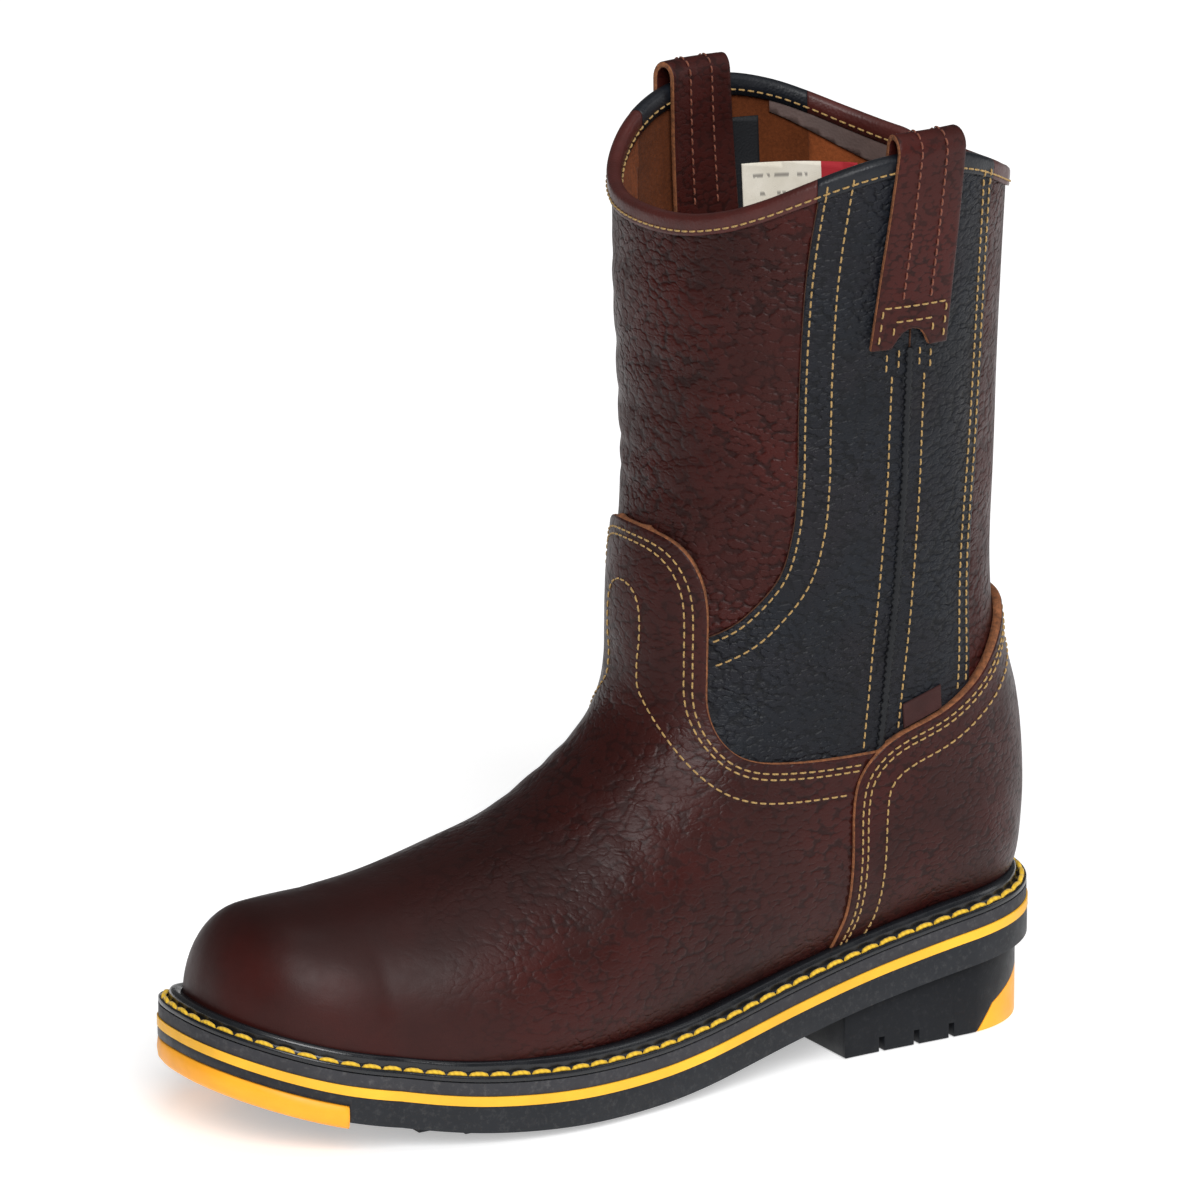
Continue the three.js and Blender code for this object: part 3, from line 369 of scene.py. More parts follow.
def split(places, fields, triangles, key, level, keep_below):
    """Cuts triangles along the line where a field passes a level."""
    h = fields[key] - level
    h = np.where(np.abs(h) < 0.01, 0.0, h)
    above = (h[triangles] >= 0).all(1)
    below = (h[triangles] <= 0).all(1) & ~above
    mixed = triangles[~above & ~below]
    made, new_places, new_fields = {}, [], {name: [] for name in fields}
    count = len(places)

    def cut(i, j):
        edge = (i, j) if i < j else (j, i)
        if edge not in made:
            f = h[edge[0]] / (h[edge[0]] - h[edge[1]])
            made[edge] = count + len(new_places)
            new_places.append(places[edge[0]] * (1 - f) + places[edge[1]] * f)
            for name, values in fields.items():
                new_fields[name].append(values[edge[0]] * (1 - f) + values[edge[1]] * f)
        return made[edge]

    up, down = [], []
    for tri in mixed.tolist():
        upper, lower = [], []
        for k in range(3):
            i, j = tri[k], tri[(k + 1) % 3]
            if h[i] >= 0:
                upper.append(i)
            if h[i] <= 0:
                lower.append(i)
            if h[i] * h[j] < 0:
                middle = cut(i, j)
                upper.append(middle)
                lower.append(middle)
        for polygon, out in ((upper, up), (lower, down)):
            for k in range(1, len(polygon) - 1):
                out.append((polygon[0], polygon[k], polygon[k + 1]))
    kept = [triangles[above]] + ([np.array(up)] if up else [])
    if keep_below:
        kept += [triangles[below]] + ([np.array(down)] if down else [])
    if new_places:
        places = np.vstack([places, new_places])
        fields = {name: np.concatenate([values, new_fields[name]]) for name, values in fields.items()}
    return places, fields, np.concatenate(kept).astype(int)


def mesh_object(name, points, faces, materials, slots=None, soft=True):
    """A named object in the scene from points in mm."""
    mesh = bpy.data.meshes.new(name)
    mesh.from_pydata((np.asarray(points, float) * MM).tolist(), [], [tuple(int(i) for i in f) for f in faces])
    for material in materials:
        mesh.materials.append(material)
    if slots is not None:
        mesh.polygons.foreach_set("material_index", np.asarray(slots, np.int32))
    mesh.polygons.foreach_set("use_smooth", np.full(len(mesh.polygons), soft))
    mesh.update()
    piece = bpy.data.objects.new(name, mesh)
    bpy.context.scene.collection.objects.link(piece)
    return piece


def settle(piece, slot, *nodes, body=BODY):
    """Hands a finished piece to the frame."""
    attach(piece, body)
    if nodes:
        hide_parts(*nodes)
    return piece


def cut_leather(name, cuts, outer, inner, materials, rolled=(), roll=0.8):
    """A leather piece: the part of the skin where every cut is positive, between two distances.

    cuts maps a name to values over the net; rolled names the cuts whose edges are rounded and show raw."""
    fields = dict(cuts)
    places, triangles = GRID.places, GRID.triangles
    alive = np.ones(len(triangles), bool)
    for values in fields.values():
        alive &= (values[triangles] > 0).any(1)
    triangles = triangles[alive]
    for key in rolled:
        for level in (roll, roll * 0.35):
            places, fields, triangles = split(places, fields, triangles, key, level, True)
    for key in fields:
        places, fields, triangles = split(places, fields, triangles, key, 0.0, False)
    base = point_at(places[:, 0], places[:, 1])
    used = np.unique(triangles)
    key = np.round(base[used] / 2e-3).astype(np.int64)
    _, first, same = np.unique(key, axis=0, return_index=True, return_inverse=True)
    same = same.ravel()
    new = np.full(len(places), -1)
    new[used] = same
    keep = used[first]
    triangles = new[triangles]
    whole = (triangles[:, 0] != triangles[:, 1]) & (triangles[:, 1] != triangles[:, 2]) & (
        triangles[:, 0] != triangles[:, 2])
    triangles = triangles[whole]
    s, turn = places[keep, 0], places[keep, 1]
    edge = np.full(len(keep), 1e3)
    for rolled_key in rolled:
        edge = np.minimum(edge, fields[rolled_key][keep])
    edge = np.clip(edge, 0, roll)
    fall = roll - np.sqrt(np.maximum(0, roll**2 - (roll - edge) ** 2))
    if callable(outer):
        high = outer({name: values[keep] for name, values in fields.items()})
    else:
        high = np.full(len(keep), float(outer))
    top = skin_point(s, turn, high - fall)
    bottom = skin_point(s, turn, np.full(len(keep), float(inner)))
    count = len(keep)
    # Faces of the net turn outwards when wound this way.
    n = np.cross(top[triangles[:, 1]] - top[triangles[:, 0]], top[triangles[:, 2]] - top[triangles[:, 0]])
    outwards = (n * normal_at(s, turn)[triangles[:, 0]]).sum(1)
    if np.median(outwards) < 0:
        triangles = triangles[:, ::-1]
    edges = np.concatenate([triangles[:, [0, 1]], triangles[:, [1, 2]], triangles[:, [2, 0]]])
    codes = edges[:, 0].astype(np.int64) * count + edges[:, 1]
    back = edges[:, 1].astype(np.int64) * count + edges[:, 0]
    rims = edges[~np.isin(codes, back)]
    walls = np.stack([rims[:, 1], rims[:, 0], rims[:, 0] + count, rims[:, 1] + count], 1)
    faces = triangles.tolist() + (triangles[:, ::-1] + count).tolist() + walls.tolist()
    if rolled:
        on_edge = (edge[triangles].max(1) <= roll * 0.36).astype(int)
        wall_slots = np.ones(len(walls), int)
    else:
        on_edge = np.zeros(len(triangles), int)
        wall_slots = np.zeros(len(walls), int)
    slots = np.concatenate([on_edge, np.full(len(triangles), 2), wall_slots])
    return mesh_object(name, np.vstack([top, bottom]), faces, materials, slots)


# ---------------------------------------------------------------- threads and swept strips
def iso_lines(key, level, mask):
    """Chains of (s, turn) points on the net where a field passes a level, inside a mask."""
    h = GRID.field[key] - level
    h = np.where(np.abs(h) < 1e-6, 1e-6, h)
    high = h > 0
    corner = high[GRID.triangles]
    mixed = GRID.triangles[corner.any(1) & ~corner.all(1) & mask[GRID.triangles].all(1)]
    points, links = {}, {}
    for tri in mixed.tolist():
        ends = []
        for i, j in ((tri[0], tri[1]), (tri[1], tri[2]), (tri[2], tri[0])):
            if high[i] != high[j]:
                edge = (i, j) if i < j else (j, i)
                if edge not in points:
                    f = h[edge[0]] / (h[edge[0]] - h[edge[1]])
                    points[edge] = GRID.places[edge[0]] * (1 - f) + GRID.places[edge[1]] * f
                ends.append(edge)
        links.setdefault(ends[0], []).append(ends[1])
        links.setdefault(ends[1], []).append(ends[0])
    chains, seen = [], set()
    starts = [edge for edge in links if len(links[edge]) == 1] + list(links)
    for start in starts:
        if start in seen:
            continue
        chain, here = [start], start
        seen.add(start)
        while True:
            onward = [edge for edge in links[here] if edge not in seen]
            if not onward:
                break
            here = onward[0]
            seen.add(here)
            chain.append(here)
        if len(chain) > 4:
            chains.append(np.array([points[edge] for edge in chain]))
    return chains


def even_steps(points, pitch):
    """Places along a line of 3-D points, a pitch apart, as (index before, share)."""
    length = np.concatenate([[0], np.cumsum(np.linalg.norm(np.diff(points, axis=0), axis=1))])
    count = max(1, int(length[-1] / pitch))
    want = (np.arange(count) + 0.5) * length[-1] / count
    return np.interp(want, length, np.arange(len(points)))


STITCH_RINGS = ((-0.5, 0.30, -0.42), (-0.40, 0.46, 0.02), (-0.15, 0.5, 0.24), (0.15, 0.5, 0.24),
                (0.40, 0.46, 0.02), (0.5, 0.30, -0.42))
STITCH_SIDES = 6


def stitch_shape():
    """One thread lying on the leather: along, across and up, for a length and a thickness of one."""
    points, faces = [], []
    for along, radius, rise in STITCH_RINGS:
        for k in range(STITCH_SIDES):
            turn = TAU * k / STITCH_SIDES
            points.append((along, radius * math.cos(turn), rise + radius * math.sin(turn)))
    for i in range(len(STITCH_RINGS) - 1):
        for k in range(STITCH_SIDES):
            a, b = i * STITCH_SIDES + k, i * STITCH_SIDES + (k + 1) % STITCH_SIDES
            faces.append((a, b, b + STITCH_SIDES, a + STITCH_SIDES))
    faces.append(tuple(range(STITCH_SIDES - 1, -1, -1)))
    last = (len(STITCH_RINGS) - 1) * STITCH_SIDES
    faces.append(tuple(last + k for k in range(STITCH_SIDES)))
    return np.array(points), faces


class Threads:
    """Many stitches gathered for one piece."""

    def __init__(self):
        self.points, self.faces, self.count = [], [], 0

    def lay(self, centre, along, up, length, thick):
        shape, faces = stitch_shape()
        along = along / np.linalg.norm(along)
        up = up - along * (up @ along)
        up = up / np.linalg.norm(up)
        across = np.cross(up, along)
        self.points.append(centre + np.outer(shape[:, 0] * length, along) + np.outer(shape[:, 1] * thick, across)
                           + np.outer(shape[:, 2] * thick, up))
        self.faces += [tuple(i + self.count for i in face) for face in faces]
        self.count += len(shape)

    def row(self, points, ups, pitch, length, thick):
        """Stitches along a line of points with an upward direction at each."""
        if len(points) < 2:
            return
        for place in even_steps(points, pitch):
            i = min(int(place), len(points) - 2)
            f = place - i
            centre = points[i] * (1 - f) + points[i + 1] * f
            a, b = max(0, i - 1), min(len(points) - 1, i + 2)
            self.lay(centre, points[b] - points[a], ups[i] * (1 - f) + ups[i + 1] * f, length, thick)

    def piece(self, name, material):
        return mesh_object(name, np.vstack(self.points), self.faces, [material])


PITCH = 3.3
STITCH = 2.5
THREAD = 0.68


def leather_row(threads, key, level, mask, distance, trim=None):
    """A row of stitches along a cut line, on leather whose face lies at a distance."""
    for chain in iso_lines(key, level, mask):
        s, turn = chain[:, 0], chain[:, 1]
        if trim is not None:
            keep = trim(point_at(s, turn))
            s, turn = s[keep], turn[keep]
        if len(s) < 3:
            continue
        lift = distance(point_at(s, turn)) if callable(distance) else np.full(len(s), float(distance))
        points = skin_point(s, turn, lift)
        threads.row(points, normal_at(s, turn), PITCH, STITCH, THREAD)


def swept(name, centres, ups, profile, material, closed=False, caps=True):
    """A strip or ring: a closed profile of (across, up) carried along a line of frames.

    profile may be one outline or one for each frame."""
    centres, ups = np.asarray(centres, float), np.asarray(ups, float)
    count = len(centres)
    if closed:
        ahead = np.roll(centres, -1, 0) - np.roll(centres, 1, 0)
    else:
        ahead = np.gradient(centres, axis=0)
    ahead /= np.linalg.norm(ahead, axis=1, keepdims=True)
    ups = ups - ahead * (ups * ahead).sum(1, keepdims=True)
    ups /= np.linalg.norm(ups, axis=1, keepdims=True)
    across = np.cross(ups, ahead)
    profile = np.asarray(profile, float)
    if profile.ndim == 2:
        profile = np.repeat(profile[None], count, 0)
    points = (centres[:, None] + across[:, None] * profile[..., :1] + ups[:, None] * profile[..., 1:]).reshape(-1, 3)
    return tube_mesh(name, points, count, profile.shape[1], material, closed, caps)


def tube_mesh(name, points, count, around, material, closed, caps=True):
    """A mesh over rows of points, each row a closed outline."""
    faces = []
    for i in range(count if closed else count - 1):
        j = (i + 1) % count
        for k in range(around):
            m = (k + 1) % around
            faces.append((i * around + k, i * around + m, j * around + m, j * around + k))
    if not closed and caps:
        faces.append(tuple(range(around - 1, -1, -1)))
        faces.append(tuple((count - 1) * around + k for k in range(around)))
    piece = mesh_object(name, points, faces, [material])
    face_outwards(piece)
    return piece


def face_outwards(piece):
    """Turns every face of a closed piece outwards."""
    shape = bmesh.new()
    shape.from_mesh(piece.data)
    bmesh.ops.recalc_face_normals(shape, faces=shape.faces)
    if shape.calc_volume(signed=True) < 0:
        bmesh.ops.reverse_faces(shape, faces=shape.faces)
    shape.to_mesh(piece.data)
    shape.free()


def pick(piece):
    """Makes a piece the only one chosen."""
    bpy.ops.object.select_all(action="DESELECT")
    bpy.context.view_layer.objects.active = piece
    piece.select_set(True)


def finish_modifiers(piece):
    pick(piece)
    for modifier in list(piece.modifiers):
        bpy.ops.object.modifier_apply(modifier=modifier.name)


def rounded(piece, width, segments=3, angle=35):
    bevel = piece.modifiers.new("edges", "BEVEL")
    bevel.width = width * MM
    bevel.segments = segments
    bevel.limit_method = "ANGLE"
    bevel.angle_limit = math.radians(angle)
    bevel.use_clamp_overlap = True


# ---------------------------------------------------------------- materials
class Finish:
    """A procedural material under construction."""

    def __init__(self, name):
        self.material = bpy.data.materials.new(name)
        self.material.use_nodes = True
        self.tree = self.material.node_tree
        self.tree.nodes.clear()
        self.out = self.tree.nodes.new("ShaderNodeOutputMaterial")
        self.shader = self.tree.nodes.new("ShaderNodeBsdfPrincipled")
        self.link(self.shader.outputs[0], self.out.inputs["Surface"])
        self.coordinates = self.tree.nodes.new("ShaderNodeTexCoord").outputs["Object"]

    def link(self, a, b):
        self.tree.links.new(a, b)

    def node(self, kind, **settings):
        node = self.tree.nodes.new(kind)
        for key, value in settings.items():
            setattr(node, key, value)
        return node

    def noise(self, size, detail=3.0, rough=0.55, at=None):
        node = self.node("ShaderNodeTexNoise")
        self.link(at or self.coordinates, node.inputs["Vector"])
        node.inputs["Scale"].default_value = 1 / (size * MM)
        node.inputs["Detail"].default_value = detail
        node.inputs["Roughness"].default_value = rough
        return node.outputs["Fac"]

    def cells(self, size, feature="F1", smoothness=0.4, at=None):
        node = self.node("ShaderNodeTexVoronoi", feature=feature)
        self.link(at or self.coordinates, node.inputs["Vector"])
        node.inputs["Scale"].default_value = 1 / (size * MM)
        if feature == "SMOOTH_F1":
            node.inputs["Smoothness"].default_value = smoothness
        return node.outputs["Distance"]

    def wander(self, size, amount):
        """Object coordinates pushed about by noise."""
        node = self.node("ShaderNodeTexNoise")
        self.link(self.coordinates, node.inputs["Vector"])
        node.inputs["Scale"].default_value = 1 / (size * MM)
        shift = self.node("ShaderNodeVectorMath", operation="SUBTRACT")
        self.link(node.outputs["Color"], shift.inputs[0])
        shift.inputs[1].default_value = (0.5, 0.5, 0.5)
        scale = self.node("ShaderNodeVectorMath", operation="SCALE")
        self.link(shift.outputs[0], scale.inputs[0])
        scale.inputs["Scale"].default_value = amount * MM
        total = self.node("ShaderNodeVectorMath", operation="ADD")
        self.link(self.coordinates, total.inputs[0])
        self.link(scale.outputs[0], total.inputs[1])
        return total.outputs[0]

    def ranged(self, value, a, b, c, d, smooth_step=False):
        node = self.node("ShaderNodeMapRange")
        if smooth_step:
            node.interpolation_type = "SMOOTHSTEP"
        self.link(value, node.inputs["Value"])
        for key, number in zip(("From Min", "From Max", "To Min", "To Max"), (a, b, c, d)):
            node.inputs[key].default_value = number
        return node.outputs["Result"]

    def math(self, operation, a, b=0.0, c=0.0):
        node = self.node("ShaderNodeMath", operation=operation)
        for i, value in enumerate((a, b, c)):
            if hasattr(value, "is_output"):
                self.link(value, node.inputs[i])
            else:
                node.inputs[i].default_value = value
        return node.outputs[0]

    def axis(self, letter, at=None):
        node = self.node("ShaderNodeSeparateXYZ")
        self.link(at or self.coordinates, node.inputs[0])
        return node.outputs[letter.upper()]

    def mix(self, share, a, b, blend="MIX"):
        node = self.node("ShaderNodeMix", data_type="RGBA", blend_type=blend)
        for key, value in ((0, share), (6, a), (7, b)):
            if hasattr(value, "is_output"):
                self.link(value, node.inputs[key])
            elif key == 0:
                node.inputs[key].default_value = value
            else:
                node.inputs[key].default_value = (*value[:3], 1)
        return node.outputs[2]

    def bump(self, height, depth, strength=1.0, under=None):
        node = self.node("ShaderNodeBump")
        node.inputs["Strength"].default_value = strength
        node.inputs["Distance"].default_value = depth * MM
        self.link(height, node.inputs["Height"])
        if under is not None:
            self.link(under, node.inputs["Normal"])
        return node.outputs["Normal"]

    def set(self, **values):
        for key, value in values.items():
            socket = self.shader.inputs[key.replace("_", " ")]
            if hasattr(value, "is_output"):
                self.link(value, socket)
            elif isinstance(value, (tuple, list)):
                socket.default_value = (*value[:3], 1)
            else:
                socket.default_value = value
        return self.material


MATERIALS = {}


def linear(red, green, blue):
    """Linear colour from 0-255 display values."""
    def one(v):
        v /= 255
        return v / 12.92 if v <= 0.04045 else ((v + 0.055) / 1.055) ** 2.4
    return one(red), one(green), one(blue)


def shade(colour, factor):
    return tuple(c * factor for c in colour[:3])


def pebbled_leather(name, colour, grain, depth, rough, flat_toe=False, gloss=0.26, creases=0.0):
    """Tumbled full-grain leather: pebbles with painted shade in the furrows between them, creases of wear, slow
    colour drift.
    """
    f = Finish(name)
    at = f.wander(7.0, 2.6)
    low = f.node("ShaderNodeVectorMath", operation="MULTIPLY")
    f.link(at, low.inputs[0])
    low.inputs[1].default_value = (1.0, 1.0, 1.55)
    low = low.outputs[0]
    pebble = f.ranged(f.cells(grain, "SMOOTH_F1", 0.12, low), 0.4, 0.82, 1.0, 0.0, True)
    fine = f.ranged(f.cells(grain * 0.45, "SMOOTH_F1", 0.12, low), 0.4, 0.85, 1.0, 0.0, True)
    height = f.math("ADD", f.math("MULTIPLY", pebble, 0.8), f.math("MULTIPLY", fine, 0.2))
    patch = f.ranged(f.noise(22, 3), 0.38, 0.64, 0.6, 1.0)
    if flat_toe:
        # The grain is pulled flat over the steel cap.
        toe = f.ranged(f.axis("y"), -0.105, -0.035, 0.07, 0.9, True)
        patch = f.math("MULTIPLY", patch, toe)
    relief_height = f.math("MULTIPLY", height, patch)
    normal = f.bump(relief_height, depth)
    if creases:
        ridge = f.math("ABSOLUTE", f.math("SUBTRACT", f.noise(11, 2, 0.5, low), 0.5))
        crease = f.ranged(ridge, 0.0, 0.07, 0.0, 1.0, True)
        where = f.math("MULTIPLY", f.ranged(f.noise(38, 2), 0.45, 0.62, 0.1, 1.0), patch)
        normal = f.bump(f.math("MULTIPLY", crease, where), creases, 1.0, normal)
    normal = f.bump(f.noise(0.55, 2, 0.6), 0.06, 0.5, normal)
    drift = f.ranged(f.noise(45, 4), 0.3, 0.7, 0.0, 1.0)
    base = f.mix(drift, shade(colour, 0.72), shade(colour, 1.25))
    warm = (colour[0] * 1.6, colour[1] * 1.02, colour[2] * 0.95)
    base = f.mix(f.ranged(f.noise(30, 3), 0.42, 0.7, 0.0, 0.6), base, warm)
    if flat_toe:
        # Painted shade: the leather is darkened where it faces up.
        up = f.node("ShaderNodeSeparateXYZ")
        f.link(f.node("ShaderNodeNewGeometry").outputs["Normal"], up.inputs[0])
        base = f.mix(f.ranged(up.outputs["Z"], 0.35, 0.95, 0.0, 0.55, True), base, shade(colour, 0.35))
    # Painted shade: colour darkened in the low furrows between the pebbles.
    furrow_shade = f.math("MULTIPLY", f.ranged(height, 0.1, 0.75, 0.75, 0.0, True), patch)
    furrow_shaded_base = f.mix(furrow_shade, base, shade(colour, 0.25))
    shine = f.ranged(f.math("ADD", f.noise(12, 4), f.math("MULTIPLY", relief_height, -0.2)), 0.2, 0.7, rough - 0.08,
                     rough + 0.12)
    return f.set(Base_Color=furrow_shaded_base, Roughness=shine, Normal=normal, Specular_IOR_Level=gloss)


def raw_edge(name, colour):
    """Cut edge of the hide: pale fibres streaked with dye."""
    f = Finish(name)
    streak = f.noise(1.6, 4, 0.7)
    base = f.mix(f.ranged(streak, 0.35, 0.7, 0, 1), shade(colour, 0.45), shade(colour, 1.25))
    return f.set(Base_Color=base, Roughness=0.85, Normal=f.bump(f.noise(0.7, 3), 0.2))


def suede(name, colour, size=1.2):
    """Napped flesh side: short fibres brushed into patches."""
    f = Finish(name)
    nap = f.noise(size, 5, 0.75)
    patch = f.noise(16, 4)
    base = f.mix(f.ranged(patch, 0.3, 0.7, 0, 1), shade(colour, 0.7), shade(colour, 1.2))
    base = f.mix(f.ranged(nap, 0.42, 0.68, 0, 0.55), base, shade(colour, 1.7))
    return f.set(Base_Color=base, Roughness=0.95, Specular_IOR_Level=0.08, Sheen_Weight=0.04, Sheen_Roughness=0.5,
                 Normal=f.bump(nap, 0.4))


def smooth_leather(name, colour, rough=0.5, grain=0.9, depth=0.06):
    f = Finish(name)
    pore = f.cells(grain, "F1")
    base = f.mix(f.ranged(f.noise(14, 4), 0.3, 0.7, 0, 1), shade(colour, 0.75), shade(colour, 1.25))
    return f.set(Base_Color=base, Roughness=f.ranged(f.noise(9, 3), 0.3, 0.7, rough - 0.07, rough + 0.1),
                 Specular_IOR_Level=0.32, Normal=f.bump(pore, depth))


def rubber(name, colour, rough, texture=0.05, scuff=0.0, size=0.8, gloss=0.35):
    """Moulded rubber: fine mould grain, slow colour drift, light scuffs."""
    f = Finish(name)
    base = f.mix(f.ranged(f.noise(30, 4), 0.3, 0.7, 0, 1), shade(colour, 0.85), shade(colour, 1.15))
    if scuff:
        dust = f.ranged(f.noise(2.2, 5, 0.75), 0.52, 0.75, 0, scuff)
        base = f.mix(dust, base, shade((0.25, 0.24, 0.23), 1))
    return f.set(Base_Color=base, Roughness=f.ranged(f.noise(6, 4), 0.3, 0.7, rough - 0.06, rough + 0.1),
                 Specular_IOR_Level=gloss, Normal=f.bump(f.noise(size, 3, 0.6), texture))


def thread(name, colour, twist=0.5):
    """Waxed twisted thread."""
    f = Finish(name)
    ply = f.node("ShaderNodeTexWave", wave_type="BANDS", bands_direction="DIAGONAL")
    f.link(f.coordinates, ply.inputs["Vector"])
    ply.inputs["Scale"].default_value = 1 / (twist * 4 * MM)
    ply.inputs["Distortion"].default_value = 0.6
    base = f.mix(f.ranged(ply.outputs["Fac"], 0, 1, 0, 0.55), colour, shade(colour, 0.55))
    base = f.mix(f.ranged(f.noise(9, 2), 0.35, 0.7, 0, 0.35), base, shade(colour, 0.7))
    return f.set(Base_Color=base, Roughness=0.7, Normal=f.bump(ply.outputs["Fac"], 0.08), Sheen_Weight=0.15)


def printed_label(name):
    """Woven size label: off-white, one red end, plain grey bars where print would be."""
    f = Finish(name)
    y, z = f.axis("y"), f.axis("z")
    red = f.math("GREATER_THAN", y, 0.1135)
    line = f.math("FRACT", f.math("MULTIPLY", z, 1 / 0.0062))
    bar = f.math("MULTIPLY", f.ranged(line, 0.3, 0.42, 0, 1), f.ranged(line, 0.5, 0.62, 1, 0))
    word = f.node("ShaderNodeTexNoise")
    stretch = f.node("ShaderNodeMapping")
    f.link(f.coordinates, stretch.inputs["Vector"])
    stretch.inputs["Scale"].default_value = (1, 260, 60)
    f.link(stretch.outputs[0], word.inputs["Vector"])
    word.inputs["Scale"].default_value = 1.0
    bar = f.math("MULTIPLY", bar, f.math("GREATER_THAN", word.outputs["Fac"], 0.47))
    bar = f.math("MULTIPLY", bar, f.math("LESS_THAN", y, 0.1105))
    bar = f.math("MULTIPLY", bar, f.math("GREATER_THAN", y, 0.0915))
    cloth = f.mix(f.ranged(f.noise(12, 3), 0.3, 0.7, 0, 1), linear(214, 207, 190), linear(232, 226, 212))
    base = f.mix(f.math("MULTIPLY", bar, 0.7), cloth, linear(96, 92, 88))
    base = f.mix(red, base, linear(165, 26, 38))
    weave = f.node("ShaderNodeTexChecker")
    f.link(f.coordinates, weave.inputs["Vector"])
    weave.inputs["Scale"].default_value = 1 / (0.35 * MM)
    return f.set(Base_Color=base, Roughness=0.8, Normal=f.bump(weave.outputs["Fac"], 0.03))


def metal(name, colour, rough):
    f = Finish(name)
    return f.set(Base_Color=f.mix(f.noise(5, 4), shade(colour, 0.8), colour), Metallic=1.0,
                 Roughness=f.ranged(f.noise(3, 4), 0.3, 0.7, rough - 0.05, rough + 0.15),
                 Normal=f.bump(f.noise(0.8, 3), 0.03))


def fibre(name, colour, size, depth, rough=0.9):
    """Pressed board, cork or foam: specks over an even ground."""
    f = Finish(name)
    speck = f.cells(size, "F1")
    base = f.mix(f.ranged(speck, 0.1, 0.7, 0, 1), shade(colour, 1.2), shade(colour, 0.6))
    return f.set(Base_Color=base, Roughness=rough, Normal=f.bump(speck, depth))


def make_materials():
    c = bpy.context.scene.boot_colours
    m = MATERIALS
    size = bpy.context.scene.boot_sizes
    grain, depth = size.grain / MM, size.grain_depth / MM
    m["brown"] = pebbled_leather("brown_pebbled_leather", c.brown, grain, depth * 0.55, 0.47, gloss=0.16,
                                 creases=0.1)
    m["counter"] = pebbled_leather("brown_counter_leather", shade(c.brown, 0.85), grain * 0.75, depth * 0.16, 0.44,
                                   gloss=0.17)
    m["vamp"] = pebbled_leather("brown_vamp_leather", shade(c.brown, 0.9), grain * 0.9, depth * 0.24, 0.43, True,
                                gloss=0.2, creases=0.13)
    m["black"] = pebbled_leather("black_pebbled_leather", c.black, grain * 0.8, depth * 0.55, 0.47, gloss=0.2,
                                 creases=0.08)
    m["strap"] = pebbled_leather("strap_leather", shade(c.brown, 1.1), grain * 0.7, depth * 0.08, 0.46, gloss=0.18)
    m["edge"] = raw_edge("raw_leather_edge", c.edge)
    m["dark_edge"] = raw_edge("dyed_leather_edge", shade(c.edge, 0.35))
    m["suede"] = suede("rust_suede", c.suede)
    m["suede_dark"] = suede("dark_suede", shade(c.suede, 0.5))
    m["facing"] = smooth_leather("facing_leather", linear(92, 76, 72), 0.5)
    m["binding_brown"] = smooth_leather("brown_binding_leather", shade(c.brown, 1.9), 0.42, 1.0, 0.08)
    m["binding_black"] = smooth_leather("black_binding_leather", c.black, 0.42, 1.0, 0.08)
    m["piping"] = smooth_leather("black_piping", shade(c.black, 0.55), 0.6, 0.7, 0.08)
    m["tag"] = smooth_leather("woven_tag", linear(52, 24, 22), 0.8, 0.5, 0.05)
    m["label"] = printed_label("woven_size_label")
    m["thread"] = thread("tan_thread", c.thread)
    m["brown_thread"] = thread("brown_thread", linear(120, 62, 38))
    m["welt_thread"] = thread("yellow_welt_thread", c.welt_thread, 0.8)
    m["welt"] = rubber("glossy_black_rubber", c.rubber, 0.24, 0.03, gloss=0.5)
    m["midsole"] = rubber("midsole_rubber", c.midsole, 0.62, 0.10, 0.2, 0.5)
    m["outsole"] = rubber("black_rubber", shade(c.rubber, 1.4), 0.48, 0.05, 0.12, gloss=0.28)
    m["heel"] = rubber("heel_rubber", shade(c.rubber, 0.9), 0.40, 0.04, 0.04, gloss=0.16)
    m["stripe"] = rubber("yellow_rubber", c.stripe, 0.5, 0.03)
    m["amber"] = rubber("amber_rubber", c.amber, 0.38, 0.03, gloss=0.25)
    m["steel"] = metal("bright_steel", (0.62, 0.63, 0.65), 0.3)
    m["board"] = fibre("fibreboard", linear(155, 124, 85), 1.2, 0.08)
    m["cork"] = fibre("cork_fill", linear(138, 95, 56), 2.0, 0.2)
    m["foam"] = fibre("footbed_foam", linear(48, 46, 48), 0.9, 0.12, 0.95)
    m["footbed"] = suede("footbed_cloth", linear(60, 54, 50), 0.8)


# ---------------------------------------------------------------- the upper's leather
def field(name, sign=1, shift=0.0):
    return sign * GRID.field[name] - shift


PANEL_FACE = 0.9  # the black panels stand this far out of the brown shaft
COUNTER_LAP = 0.9  # the counter's front edge rides over the vamp by this much


def counter_height(inwards):
    """Height of the counter's face at a distance in from its front edge."""
    return VAMP_OUT + 0.15 + COUNTER_LAP * np.exp(-inwards / 16)


def counter_face(fields):
    return counter_height(np.maximum(fields["counter"], 0))


